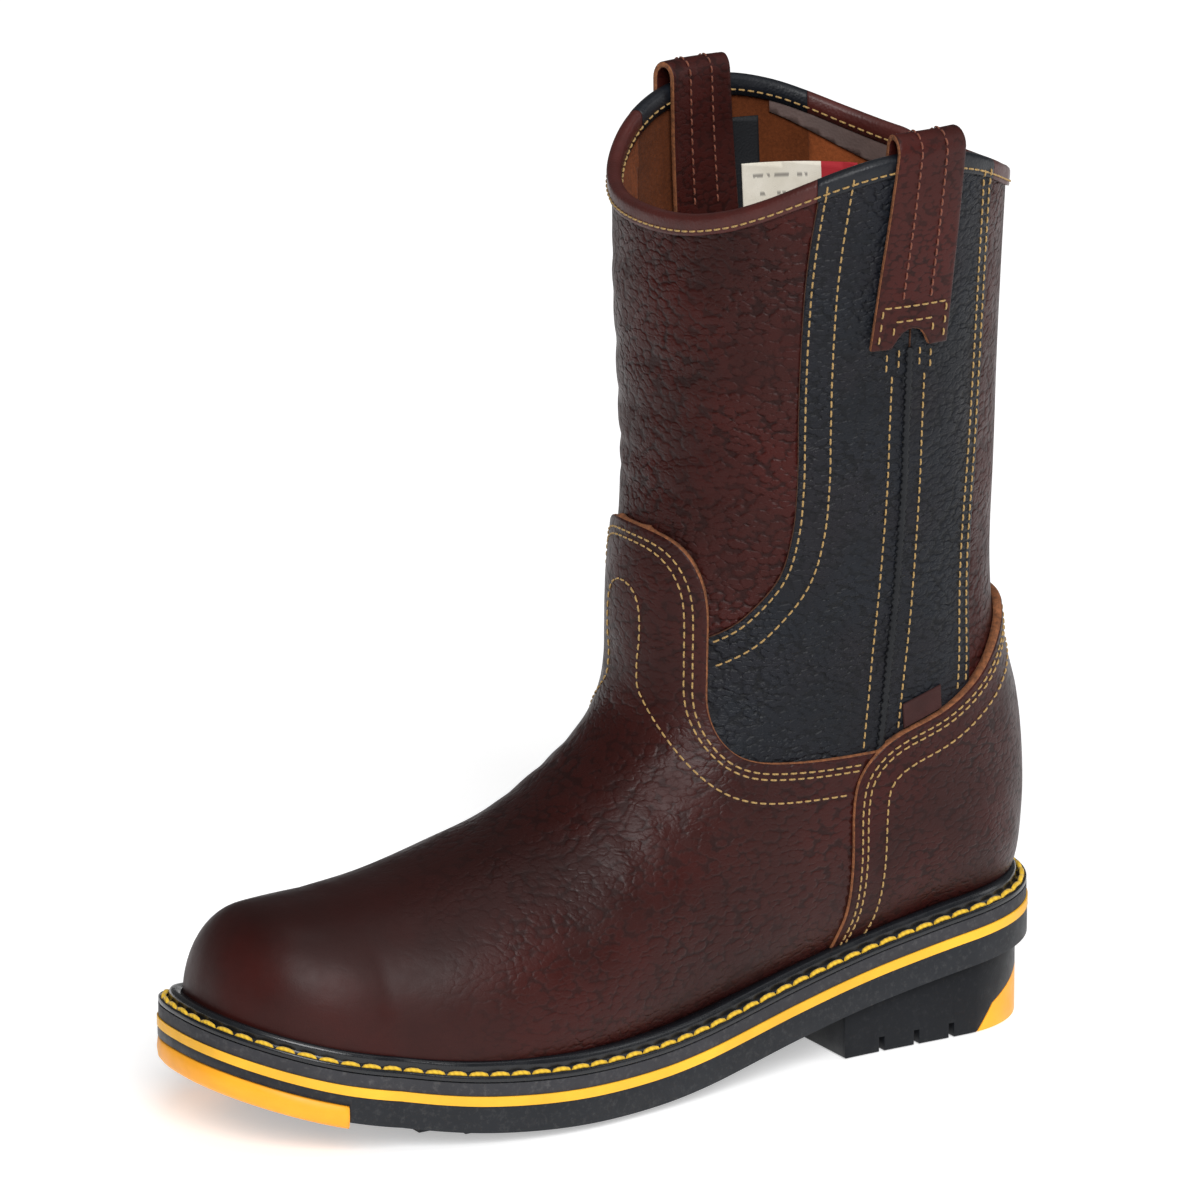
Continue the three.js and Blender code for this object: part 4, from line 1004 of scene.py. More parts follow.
def upper_shaft():
    m = MATERIALS
    wall = {"rim": field("rim", -1), "hem": field("hem")}
    skins = [m["brown"], m["edge"], m["suede"]]
    front = cut_leather("shaft_front_leather", {**wall, "front": field("front", -1)}, 0.0, SHAFT_IN, skins)
    settle(front, "brown_leather", "shaft_front")
    back = cut_leather("shaft_back_leather", {**wall, "rear": field("rear")}, 0.0, SHAFT_IN, skins)
    settle(back, "brown_leather", "shaft_back")
    skins = [m["black"], m["dark_edge"], m["suede_dark"]]
    for side, sign in (("outer", 1), ("inner", -1)):
        half = {**wall, "half": sign * GRID.x - 1}
        piece = cut_leather(f"side_panel_{side}_front_leather",
                            {**half, "front": field("front"), "seam": field("seam", -1, GAP / 2)},
                            PANEL_FACE, SHAFT_IN, skins, rolled=("front", "seam"), roll=0.7)
        settle(piece, "black_leather", f"side_panel_{side}_front")
        piece = cut_leather(f"side_panel_{side}_rear_leather",
                            {**half, "rear": field("rear", -1), "seam": field("seam", 1, GAP / 2)},
                            PANEL_FACE, SHAFT_IN, skins, rolled=("rear", "seam"), roll=0.7)
        settle(piece, "black_leather", f"side_panel_{side}_rear")


def foot_leather():
    m = MATERIALS
    skins = [m["vamp"], m["edge"], m["suede"]]
    low = {"floor": field("floor", 1, UPPER_LOW)}
    vamp = cut_leather("vamp_leather", {**low, "vamp": field("vamp", -1), "counter": field("counter", 1, 0.1)},
                       VAMP_OUT, VAMP_IN, skins, rolled=("vamp",), roll=1.0)
    settle(vamp, "brown_leather", "vamp")
    skins = [m["counter"], m["edge"], m["suede"]]
    counter = cut_leather("counter_leather", {**low, "counter": field("counter", -1)}, counter_face, VAMP_IN, skins,
                          rolled=("counter",), roll=1.1)
    settle(counter, "brown_leather", "counter")


def lining_pieces():
    m = MATERIALS
    skins = [m["suede"]] * 3
    low = {"floor": field("floor", 1, UPPER_LOW), "top": LINING_TOP - GRID.z}
    front = cut_leather("vamp_lining_suede", {**low, "meet": LINING_JOIN - GRID.y}, LINING_OUT, LINING_IN, skins)
    settle(front, "suede_lining", "vamp_lining")
    back = cut_leather("heel_lining_suede", {**low, "meet": GRID.y - LINING_JOIN - GAP}, LINING_OUT, LINING_IN,
                       skins)
    settle(back, "suede_lining", "heel_lining")


def plate(y_range, z_range):
    """Fields of a rectangle in the side view."""
    return {"a": GRID.y - y_range[0], "b": y_range[1] - GRID.y, "c": GRID.z - z_range[0], "d": z_range[1] - GRID.z}


def seam_trim():
    """The tape inside each side seam and the toothed piping over it."""
    m = MATERIALS
    for side, sign in (("outer", 1), ("inner", -1)):
        half = sign * GRID.x - 1
        tape = cut_leather(f"side_seam_tape_{side}_cloth", {"half": half, **plate(TAPE_SIDES, TAPE_ENDS)},
                           SHAFT_IN - GAP, SHAFT_IN - GAP - STRIP, [m["piping"]] * 3)
        settle(tape, "black_leather", f"side_seam_tape_{side}")
        z = np.linspace(PIPING_LOW, SHAFT_TOP - STRAP_DROP - 1, 300)
        seam = smooth(PANEL_SEAM, 40)[::-1]
        y = np.interp(z, seam[:, 1], seam[:, 0])
        s, turn = on_side(y, z, sign)
        centre = skin_point(s, turn, np.full(len(z), 0.55))
        teeth = 1.3 + 0.3 * np.sign(np.sin(TAU * z / PIPING_TOOTH))
        arc = np.linspace(0, math.pi, 9)
        profile = np.stack([np.stack([w * np.cos(arc), 0.15 + 1.25 * np.sin(arc) ** 0.7], 1) for w in teeth])
        piping = swept(f"side_piping_{side}_strip", centre, normal_at(s, turn), profile, m["piping"])
        settle(piping, "black_leather", f"side_piping_{side}")


def back_trim():
    """The backstay up the heel and the facing inside the rim."""
    m = MATERIALS
    stay = cut_leather("backstay_leather",
                       {"a": BACKSTAY_HALF - np.abs(GRID.x), "b": GRID.y - BACK_START,
                        "c": GRID.z - BACKSTAY_ENDS[0], "d": BACKSTAY_ENDS[1] - GRID.z},
                       1.7, 0.2, [m["black"], m["dark_edge"], m["dark_edge"]], rolled=("a", "d"), roll=0.8)
    settle(stay, "black_leather", "backstay")
    # The facing grows deeper towards the back.
    depth = 10 + 0.14 * (GRID.y - BACK_START)
    facing = cut_leather("collar_facing_leather",
                         {"rim": field("rim", -1, 3.6), "back": GRID.y - BACK_START,
                          "low": GRID.z - rim_height(GRID.y) + depth},
                         SHAFT_IN - GAP, SHAFT_IN - GAP - STRIP, [m["suede"], m["edge"], m["facing"]])
    settle(facing, "facing_leather", "collar_facing_back")


def labels():
    """The side tag over the counter and the size label inside the shaft."""
    m = MATERIALS
    corners = TAG_CORNERS
    sides = {"half": GRID.x - 1}
    for k, ((ay, az), (by, bz)) in enumerate(zip(corners, corners[1:] + corners[:1])):
        length = math.hypot(by - ay, bz - az)
        sides[f"side{k}"] = ((by - ay) * (GRID.z - az) - (bz - az) * (GRID.y - ay)) / length
    tag = cut_leather("side_tag_cloth", sides, PANEL_FACE + 1.1, PANEL_FACE + 0.1, [m["tag"]] * 3,
                      rolled=("side0", "side1", "side2", "side3"), roll=0.5)
    settle(tag, "tag_cloth", "side_tag")
    label = cut_leather("size_label_cloth", {"half": -GRID.x - 1, **plate(LABEL_SIDES, LABEL_ENDS)},
                        *LABEL_FACES, [m["label"]] * 3)
    settle(label, "label_cloth", "size_label")


# ---------------------------------------------------------------- collar, straps and stitching
def rim_frame(turn):
    """s on the rim at each turn."""
    return s_for(turn, lambda p: p[..., 2] - rim_height(p[..., 1]), low=12.0)


def rim_turn(y, sign):
    """Turn at which the rim passes a given y on one side."""
    turns = np.linspace(0.02, math.pi - 0.02, 500) * sign
    along = point_at(rim_frame(turns), turns)[:, 1]
    return float(np.interp(y, along, turns))


# Distance from the surface, and height over the rim, round the folded collar strip.
FOLD = [(1.2, -5.8), (1.3, -4.9), (1.1, -4.2), (1.3, -3.4), (1.38, -2.0), (1.35, -0.6), (1.05, 0.3), (0.2, 1.0),
        (-1.1, 1.3), (-2.4, 1.0), (-3.25, 0.3), (-3.55, -0.6), (-3.6, -2.4), (-3.6, -6.0), (-2.5, -6.0),
        (-2.4, -0.2), (-1.1, 0.2), (0.12, -0.2), (0.3, -5.8)]


def collar():
    m = MATERIALS
    ends = {sign: [rim_turn(y, sign) for y in BINDING_ENDS] for sign in (1, -1)}
    parts = [
        ("front", ends[-1][0], ends[1][0], "binding_brown", "brown_leather", 90),
        ("outer", ends[1][0], ends[1][1], "binding_black", "black_leather", 60),
        ("back", ends[1][1], TAU + ends[-1][1], "binding_brown", "brown_leather", 80),
        ("inner", ends[-1][1], ends[-1][0], "binding_black", "black_leather", 60),
    ]
    for name, start, stop, material, slot, steps in parts:
        turn = np.linspace(start, stop, steps * 2)
        shrink = 0.0 if slot == "brown_leather" else 0.12
        rows = len(turn)
        around = len(FOLD)
        distance = np.array([d for d, _ in FOLD])
        rise = np.array([r for _, r in FOLD])
        outward = np.where(distance > -1.1, 1, -1)
        distance = distance + outward * shrink
        turns = np.repeat(turn[:, None], around, 1)
        rises = np.repeat(rise[None], rows, 0)
        s = s_for(turns, lambda p: p[..., 2] - rim_height(p[..., 1]) - rises, low=12.0)
        points = skin_point(s, turns, np.repeat(distance[None], rows, 0)).reshape(-1, 3)
        piece = tube_mesh(f"collar_binding_{name}_leather", points, rows, around, m[material], False)
        settle(piece, slot, f"collar_binding_{name}")


def strap_path(side):
    """Rows of mid-surface points of a pull strap, from its outer foot over the fold to its inner foot."""
    sign = 1 if side == "outer" else -1
    foot_y, top_y = (76.5, 82.0) if side == "outer" else (73.0, 72.0)
    foot, fold = SHAFT_TOP - STRAP_DROP, 318.3
    out, inn = BINDING_OUT + GAP + STRAP / 2 + 0.25, BINDING_IN - GAP - STRAP / 2 - 0.25
    shares = np.linspace(-0.5, 0.5, 17)
    legs = np.linspace(0, 1, 40)
    width = STRAP_WIDTH + (STRAP_TOP_WIDTH - STRAP_WIDTH) * legs
    y = (foot_y + (top_y - foot_y) * legs)[:, None] + shares[None] * width[:, None]
    z = np.repeat((foot + (fold - foot) * legs)[:, None], len(shares), 1)
    s, turn = on_side(y, z, sign)
    outer = skin_point(s, turn, np.full(y.shape, out))
    inner = skin_point(s, turn, np.full(y.shape, inn))
    rows = list(outer)
    a, b = outer[-1], inner[-1]
    middle, reach = (a + b) / 2, np.linalg.norm(a - b, axis=1) / 2
    side_way = (a - b) / (2 * reach[:, None])
    for turn_over in np.linspace(0, math.pi, 14)[1:-1]:
        rise = np.array([0, 0, 1.0])
        rows.append(middle + side_way * (reach * math.cos(turn_over))[:, None]
                    + rise * (reach * 1.25 * math.sin(turn_over))[:, None])
    rows += list(inner[::-1])
    return np.array(rows)


def straps():
    m = MATERIALS
    for side in ("outer", "inner"):
        rows = strap_path(side)
        count, across = rows.shape[:2]
        # The lower end is notched: points near the end are drawn up round a half circle.
        share = np.linspace(-0.5, 0.5, across) * STRAP_WIDTH
        notch = 6.5 * np.sqrt(np.maximum(0, 1 - (share / 6.0) ** 2))
        for k in range(across):
            if notch[k] <= 0:
                continue
            line = rows[:40, k].copy()
            run = np.concatenate([[0], np.cumsum(np.linalg.norm(np.diff(line, axis=0), axis=1))])
            want = notch[k] + run / run[-1] * (run[-1] - notch[k])
            rows[:40, k] = np.stack([np.interp(want, run, line[:, c]) for c in range(3)], 1)
        faces = []
        for i in range(count - 1):
            for k in range(across - 1):
                a = i * across + k
                faces.append((a, a + 1, a + across + 1, a + across))
        piece = mesh_object(f"pull_strap_{side}_leather", rows.reshape(-1, 3), faces, [m["strap"], m["edge"]])
        wall = piece.modifiers.new("leather", "SOLIDIFY")
        wall.thickness = (STRAP - 0.3) * MM
        wall.offset = 0
        wall.material_offset_rim = 1
        rounded(piece, 0.55, 2, 50)
        finish_modifiers(piece)
        face_outwards(piece)
        settle(piece, "strap_leather", f"pull_strap_{side}")


def strap_threads():
    tan, brown = Threads(), Threads()
    for side in ("outer", "inner"):
        rows = strap_path(side)
        count, across = rows.shape[:2]
        normals = np.cross(np.gradient(rows, axis=0), np.gradient(rows, axis=1))
        normals /= np.linalg.norm(normals, axis=2, keepdims=True)
        if (normals[5, 8] * np.array([1 if side == "outer" else -1, 0, 0])).sum() < 0:
            normals = -normals
        face = rows + normals * (STRAP / 2)

        def at(v, u):
            """Point and normal at v mm up from the foot and u mm across."""
            run = np.concatenate([[0], np.cumsum(np.linalg.norm(np.diff(face[:, across // 2], axis=0), axis=1))])
            i = np.interp(v, run, np.arange(len(run)))
            k = np.clip((u / STRAP_WIDTH + 0.5) * (across - 1), 0, across - 1)
            i0, k0 = np.minimum(i.astype(int), count - 2), np.minimum(k.astype(int), across - 2)
            along, aside = (i - i0)[:, None], (k - k0)[:, None]

            def blend(a):
                return ((a[i0, k0] * (1 - along) + a[i0 + 1, k0] * along) * (1 - aside)
                        + (a[i0, k0 + 1] * (1 - along) + a[i0 + 1, k0 + 1] * along) * aside)

            return blend(face), blend(normals)

        def run_line(threads, corners):
            for (v0, u0), (v1, u1) in zip(corners, corners[1:]):
                steps = max(4, int(math.hypot(v1 - v0, u1 - u0)))
                f = np.linspace(0, 1, steps)
                points, ups = at(v0 + (v1 - v0) * f, u0 + (u1 - u0) * f)
                threads.row(points, ups, PITCH, STITCH, THREAD)

        total = np.linalg.norm(np.diff(rows[:, across // 2], axis=0), axis=1).sum()
        for u in (-5.2, 5.2):
            run_line(brown, [(16.5, u), (total - 18, u)])
        run_line(tan, [(1.5, -11.8), (14.5, -11.8), (14.5, 11.8), (1.5, 11.8)])
        run_line(tan, [(3.0, -7.2), (9.5, -7.2), (9.5, 7.2), (3.0, 7.2)])
    settle(tan.piece("strap_box_stitching", MATERIALS["thread"]), "yellow_thread")
    settle(brown.piece("strap_row_stitching", MATERIALS["brown_thread"]), "yellow_thread")


# Rows of stitches: distances from the edge of the piece that they follow.
VAMP_ROWS = (-3.6, -5.6, -13.5)
COUNTER_ROWS = (-3.4, -5.6, -13.0)
FRONT_ROWS = (2.0, 9.6)
REAR_ROWS = (-2.0, -5.4)
SEAM_ROWS = (-6.2, 6.2)
STRAP_END_ROWS = (-4.0, 4.0, -8.4, 8.4)
COLLAR_ROWS = ((-4.2, 1.35), (-4.2, -3.7))  # height over the rim, distance from the surface


def upper_threads():
    f = GRID.field
    vamp_area = (f["counter"] > 0.4) & (f["vamp"] < 0)
    rows = Threads()
    for level in VAMP_ROWS:
        leather_row(rows, "vamp", level, vamp_area, VAMP_OUT)

    def counter_lift(p):
        return counter_height(np.abs(side_distance(COUNTER_FRONT, p[:, 1], p[:, 2])))

    low = f["floor"] > UPPER_LOW + 7
    for level in COUNTER_ROWS:
        leather_row(rows, "counter", level, low, counter_lift)
    settle(rows.piece("foot_stitching", MATERIALS["thread"]), "yellow_thread")
    rows = Threads()
    open_area = (f["vamp"] > 0.4) & (f["rim"] < -0.3) & (f["counter"] > 0.4)

    def panel_lift(p):
        return np.where(rim_height(p[:, 1]) - p[:, 2] < 6.2, 1.5, PANEL_FACE)

    for side in (1, -1):
        half = open_area & (GRID.x * side > 0)
        for level in FRONT_ROWS:
            leather_row(rows, "front", level, half & (f["rear"] < -2), panel_lift)
        for level in REAR_ROWS:
            leather_row(rows, "rear", level, half, panel_lift)
        below_strap = half & (GRID.z < SHAFT_TOP - STRAP_DROP - 9)
        for level in SEAM_ROWS:
            leather_row(rows, "seam", level, below_strap, PANEL_FACE)
        band = half & (GRID.z < SHAFT_TOP - STRAP_DROP - 0.5) & (GRID.z > SHAFT_TOP - STRAP_DROP - 10)
        for level in STRAP_END_ROWS:
            leather_row(rows, "seam", level, band, PANEL_FACE)
    settle(rows.piece("shaft_stitching", MATERIALS["thread"]), "yellow_thread")
    rows = Threads()
    turn = np.linspace(-math.pi, math.pi, 700)
    for drop, distance in COLLAR_ROWS:
        s = s_for(turn, lambda p: p[..., 2] - rim_height(p[..., 1]) - drop, low=12.0)
        points = skin_point(s, turn, np.full(len(turn), distance))
        ups = normal_at(s, turn) * (1 if distance > 0 else -1)
        rows.row(points, ups, PITCH, STITCH, THREAD)
    settle(rows.piece("collar_stitching", MATERIALS["thread"]), "yellow_thread")


# ---------------------------------------------------------------- the sole
def side_at(y, column):
    return height_at([(row[0], row[column]) for row in SOLE_SIDES], y)


def sole_stations(inset, heel_inset, toe_steps=44, side_steps=60, heel_steps=34):
    """Stations from toe to heel: y, outer x and inner x."""
    toe, heel = -SOLE_HALF + inset, SOLE_HALF - heel_inset
    share_toe = np.cos(np.linspace(0.03, 1, toe_steps, endpoint=False) * math.pi / 2)
    share_heel = np.sin(np.linspace(0, 0.97, heel_steps) * math.pi / 2)
    y = np.concatenate([-105 + (toe + 105) * share_toe,
                        np.linspace(-105, 118, side_steps, endpoint=False), 118 + (heel - 118) * share_heel])
    share = np.concatenate([rounding(share_toe, 2.25), np.ones(side_steps), rounding(share_heel, 2.1)])
    own = inset + (heel_inset - inset) * (y - toe) / (heel - toe)
    outer = swing(y) + (side_at(y, 1) - own) * share
    inner = swing(y) - (side_at(y, 2) - own) * share
    return y, outer, inner


def sole_outline(inset=0.0, heel_inset=None, count=520):
    """The sole's edge in plan as evenly spaced (x, y), anticlockwise from above, and its outward normals."""
    y, outer, inner = sole_stations(inset, inset if heel_inset is None else heel_inset)
    loop = np.concatenate([np.stack([outer, y], 1), np.stack([inner, y], 1)[::-1]])
    closed = np.vstack([loop, loop[:1]])
    length = np.concatenate([[0], np.cumsum(np.linalg.norm(np.diff(closed, axis=0), axis=1))])
    want = np.linspace(0, length[-1], count, endpoint=False)
    points = np.stack([np.interp(want, length, closed[:, 0]), np.interp(want, length, closed[:, 1])], 1)
    for _ in range(3):
        points = 0.5 * points + 0.25 * (np.roll(points, 1, 0) + np.roll(points, -1, 0))
    ahead = np.roll(points, -1, 0) - np.roll(points, 1, 0)
    normals = np.stack([ahead[:, 1], -ahead[:, 0]], 1)
    return points, normals / np.linalg.norm(normals, axis=1, keepdims=True)


def sole_plate(name, material, low, high, inset=0.0, heel_inset=None, bevel=0.6, start=None, across=10):
    """A layer of the sole: a grid laid on the outline, extruded up, its edges rounded."""
    y, outer, inner = sole_stations(inset, inset if heel_inset is None else heel_inset)
    if start is not None:
        own = y > start
        y0 = np.array([start])
        outer = np.concatenate([np.interp(y0, y, outer), outer[own]])
        inner = np.concatenate([np.interp(y0, y, inner), inner[own]])
        y = np.concatenate([y0, y[own]])
    rows = len(y)
    bpy.ops.object.select_all(action="DESELECT")
    bpy.ops.mesh.primitive_grid_add(x_subdivisions=across, y_subdivisions=rows - 1, size=1)
    piece = bpy.context.object
    piece.name = piece.data.name = name
    flat = sorted(range(len(piece.data.vertices)),
                  key=lambda i: (round(piece.data.vertices[i].co.y, 5), piece.data.vertices[i].co.x))
    shares = 0.5 - 0.5 * np.cos(np.linspace(0, 1, across + 1) * math.pi)
    for number, i in enumerate(flat):
        row, column = divmod(number, across + 1)
        x = inner[row] + (outer[row] - inner[row]) * shares[column]
        bottom = low(y[row]) if callable(low) else sole_height(y[row]) + low
        piece.data.vertices[i].co = (x * MM, y[row] * MM, bottom * MM)
    bpy.ops.object.mode_set(mode="EDIT")
    bpy.ops.mesh.select_all(action="SELECT")
    bpy.ops.mesh.extrude_region_move(TRANSFORM_OT_translate={"value": (0, 0, MM)})
    bpy.ops.object.mode_set(mode="OBJECT")
    for vertex in piece.data.vertices:
        if vertex.select:
            x, yy = vertex.co.x / MM, vertex.co.y / MM
            row = int(np.argmin(np.abs(y - yy)))
            top = high(y[row]) if callable(high) else sole_height(y[row]) + high
            vertex.co.z = top * MM
    piece.data.materials.append(material)
    piece.data.polygons.foreach_set("use_smooth", np.ones(len(piece.data.polygons), bool))
    face_outwards(piece)
    if bevel:
        rounded(piece, bevel)
        finish_modifiers(piece)
    return piece


def foot_cloud(distance, around):
    """Points all over the foot, at a distance from the swept surface."""
    s = np.repeat(np.concatenate([np.linspace(0.02, 1, 60), np.linspace(1, 11, 240)])[:, None], around, 1)
    turn = np.repeat(np.linspace(-math.pi, math.pi, around)[None], len(s), 0)
    return (point_at(s, turn) + normal_at(s, turn) * distance).reshape(-1, 3)


def upper_reach(outline, level):
    """How far in from each outline point the upper's face lies at a height over the sole line."""
    p = foot_cloud(VAMP_OUT, 900)
    near = p[np.abs(p[:, 2] - sole_height(p[:, 1]) - level) < 0.7]
    tree = KDTree(len(near))
    for i, point in enumerate(near):
        tree.insert((point[0], point[1], 0), i)
    tree.balance()
    reach = np.array([tree.find((x, y, 0))[2] for x, y in outline])
    for _ in range(12):
        reach = 0.5 * reach + 0.25 * (np.roll(reach, 1) + np.roll(reach, -1))
    return reach


def outline_ring(name, material, profiles, inset=0.0, count=520, rows=None):
    """A ring carried round the sole's edge.

    profiles has a closed outline of (inwards, level) for each point of the edge."""
    outline, normals = sole_outline(inset, count=count)
    if rows is not None:
        outline, normals, profiles = outline[rows], normals[rows], profiles[rows]
    across = -normals[:, None, :] * profiles[..., :1]
    plan = outline[:, None, :] + across
    z = sole_height(plan[..., 1]) + profiles[..., 1]
    points = np.concatenate([plan, z[..., None]], -1).reshape(-1, 3)
    return tube_mesh(name, points, len(outline), profiles.shape[1], material, rows is None)


WELT_GROOVE = 1.95  # the lockstitch lies this far in from the welt's edge
WELT_PITCH = 7.3
WELT_STITCH = 6.9
WELT_THREAD = 1.75


def welt():
    m = MATERIALS
    rows = []
    for q in upper_reach(sole_outline()[0], 10.0):
        foot = max(2.6, min(RIDGE_INSET, q - 2.4))
        span = max(2.2, q + 0.8 - foot)
        arc = np.linspace(math.pi, 0.0, 11)
        radius = min(span / 2, 2.1)
        top = [(foot + radius + radius * math.cos(t), RIDGE_TOP - radius + radius * math.sin(t)) for t in arc[:7]]
        flange = [(0.55, UPPER_LOW), (0.3, UPPER_LOW + 0.5), (0.3, FLANGE_TOP - 0.5), (0.7, FLANGE_TOP),
                  (1.0, FLANGE_TOP - 0.15), (1.5, FLANGE_TOP - 0.55), (2.2, FLANGE_TOP - 0.55),
                  (max(2.5, foot - 0.25), FLANGE_TOP - 0.1), (foot, FLANGE_TOP + 0.9)]
        inside = [(q + 2.2, RIDGE_TOP - 0.3), (q + 2.4, UPPER_LOW)]
        rows.append(flange + top + inside)
    profiles = np.array(rows)
    piece = outline_ring("storm_welt_rubber", m["welt"], profiles)
    settle(piece, "black_rubber", "welt")
    stitches = Threads()
    groove = sole_outline(WELT_GROOVE)[0]
    z = sole_height(groove[:, 1]) + FLANGE_TOP - 0.1
    points = np.column_stack([groove, z])
    points = np.vstack([points, points[:1]])
    ups = np.repeat([[0, 0, 1.0]], len(points), 0)
    stitches.row(points, ups, WELT_PITCH, WELT_STITCH, WELT_THREAD)
    settle(stitches.piece("welt_lockstitch", m["welt_thread"]), "yellow_thread", "welt_thread")


def boolean(piece, cutter, operation="DIFFERENCE"):
    modifier = piece.modifiers.new("cut", "BOOLEAN")
    modifier.operation = operation
    modifier.solver = "EXACT"
    modifier.object = cutter
    pick(piece)
    bpy.ops.object.modifier_apply(modifier="cut")
    bpy.data.objects.remove(cutter)


def block(low, high):
    """A plain cutter between two corners in mm."""
    bpy.ops.object.select_all(action="DESELECT")
    bpy.ops.mesh.primitive_cube_add(size=1)
    cutter = bpy.context.object
    for vertex in cutter.data.vertices:
        vertex.co = [(a + (b - a) * (c + 0.5)) * MM for a, b, c in zip(low, high, vertex.co)]
    return cutter


def side_wedge(outline, x0, x1):
    """A cutter: a side-view outline pushed from x0 to x1."""
    count = len(outline)
    points = [(x, y, z) for x in (x0, x1) for y, z in outline]
    faces = [tuple(range(count)), tuple(range(2 * count - 1, count - 1, -1))]
    faces += [(k, count + k, count + (k + 1) % count, (k + 1) % count) for k in range(count)]
    piece = mesh_object("wedge", points, faces, [], soft=False)
    face_outwards(piece)
    return piece


def bumper_ring(name, material, margin):
    outline = sole_outline()[0]
    ahead = np.nonzero(outline[:, 1] < BUMPER_END + margin)[0]
    gap = np.nonzero(np.diff(ahead) > 1)[0]
    rows = np.concatenate([ahead[gap[0] + 1:], ahead[:gap[0] + 1]]) if len(gap) else ahead
    low, high = BUMPER_LOW - 3 * margin, BUMPER_TOP + margin
    outside, inside = -6 * margin, BUMPER_DEPTH + margin
    r = 0.01 if margin else 1.3
    profile = [(outside + r, low), (outside, low + r), (outside - (0.0 if margin else 0.35), (low + high) / 2),
               (outside, high - r * 0.5), (outside + r * 0.5, high), (inside, high), (inside, low + 0.4 * r),
               (inside - r, low)]
    profiles = np.repeat(np.array(profile)[None], len(outline), 0)
    return outline_ring(name, material, profiles, rows=rows)


LUGS = 8
LUG_START = -96.0
LUG_PITCH = 15.0
LUG_LENGTH = 9.0
LUG_INSET = 9.0


def sole_layers():
    m = MATERIALS
    settle(sole_plate("midsole_upper_rubber", m["midsole"], MIDSOLE_LOW - 0.15, MIDSOLE_TOP + 0.15, 0.3, bevel=0.5),
           "midsole_rubber", "midsole_upper")
    settle(sole_plate("midsole_stripe_rubber", m["stripe"], -STRIPE_HALF, STRIPE_HALF, -0.15, bevel=0.5),
           "yellow_rubber", "midsole_stripe")
    outsole = sole_plate("outsole_rubber", m["outsole"], OUTSOLE_LOW, OUTSOLE_TOP + 0.15, 0.0, bevel=0.7)
    for k in range(LUGS):
        y = LUG_START + k * LUG_PITCH
        middle = y + LUG_LENGTH / 2
        half_outer, half_inner = side_at(middle, 1) - LUG_INSET, side_at(middle, 2) - LUG_INSET
        shift = swing(middle)
        low = max(0.0, float(sole_height(middle)) + OUTSOLE_LOW - TREAD_DEPTH)
        lug = block((shift - half_inner, y, low), (shift + half_outer, y + LUG_LENGTH, sole_height(middle) - 6))
        boolean(outsole, lug, "UNION")
    boolean(outsole, bumper_ring("bumper_room", None, GAP))
    settle(outsole, "black_rubber", "outsole")
    settle(bumper_ring("toe_bumper_rubber", m["amber"], 0.0), "amber_rubber", "toe_bumper")


def heel_plate(name, material):
    return sole_plate(name, material, lambda y: 0.0, lambda y: sole_height(y) + OUTSOLE_LOW - GAP, 2.5, 4.0, bevel=0,
                      start=HEEL_BREAST)


def insert_outline(margin):
    return [(124 - 2 * margin, -8), (124 - 2 * margin, 0), (131 - margin, 8.5 + margin), (160, 22 + margin),
            (220, 22 + margin), (220, -8)]


HEEL_GROOVES = (85.0, 99.0, 113.0)
HEEL_NAILS = ((-18, 77.5), (18, 77.5), (-17, 106), (17, 106))
NAIL_HOLE = 1.9


def heel():
    m = MATERIALS
    heel_block = heel_plate("heel_block_rubber", m["heel"])
    for y in HEEL_GROOVES:
        for x0, x1 in ((-80, -12), (12, 80)):
            boolean(heel_block, block((x0, y - 1.1, -3), (x1, y + 1.1, 5)))
    boolean(heel_block, side_wedge(insert_outline(GAP), -90, 90))
    boolean(heel_block, side_wedge([(60, -5), (74, -5), (66, 6), (60, 6)], -90, 90))
    for x, y in HEEL_NAILS:
        bpy.ops.object.select_all(action="DESELECT")
        bpy.ops.mesh.primitive_cylinder_add(vertices=24, radius=NAIL_HOLE * MM, depth=17 * MM,
                                            location=(x * MM, y * MM, 8.4 * MM))
        boolean(heel_block, bpy.context.object)
    rounded(heel_block, 0.45, 2, 40)
    finish_modifiers(heel_block)
    pick(heel_block)
    bpy.ops.object.shade_smooth_by_angle(angle=math.radians(40))
    settle(heel_block, "black_rubber", "heel_block")
    insert = heel_plate("heel_insert_rubber", m["amber"])
    boolean(insert, side_wedge(insert_outline(0.0), -90, 90), "INTERSECT")
    rounded(insert, 0.7, 3, 40)
    finish_modifiers(insert)
    pick(insert)
    bpy.ops.object.shade_smooth_by_angle(angle=math.radians(40))
    settle(insert, "amber_rubber", "heel_insert")


# Heights over the sole line where the footbed has to fit: where it lies and where it is lifted to.
FOOTBED_LEVELS = (14, 20.5)
FOOTBED_ROOM = 1.8


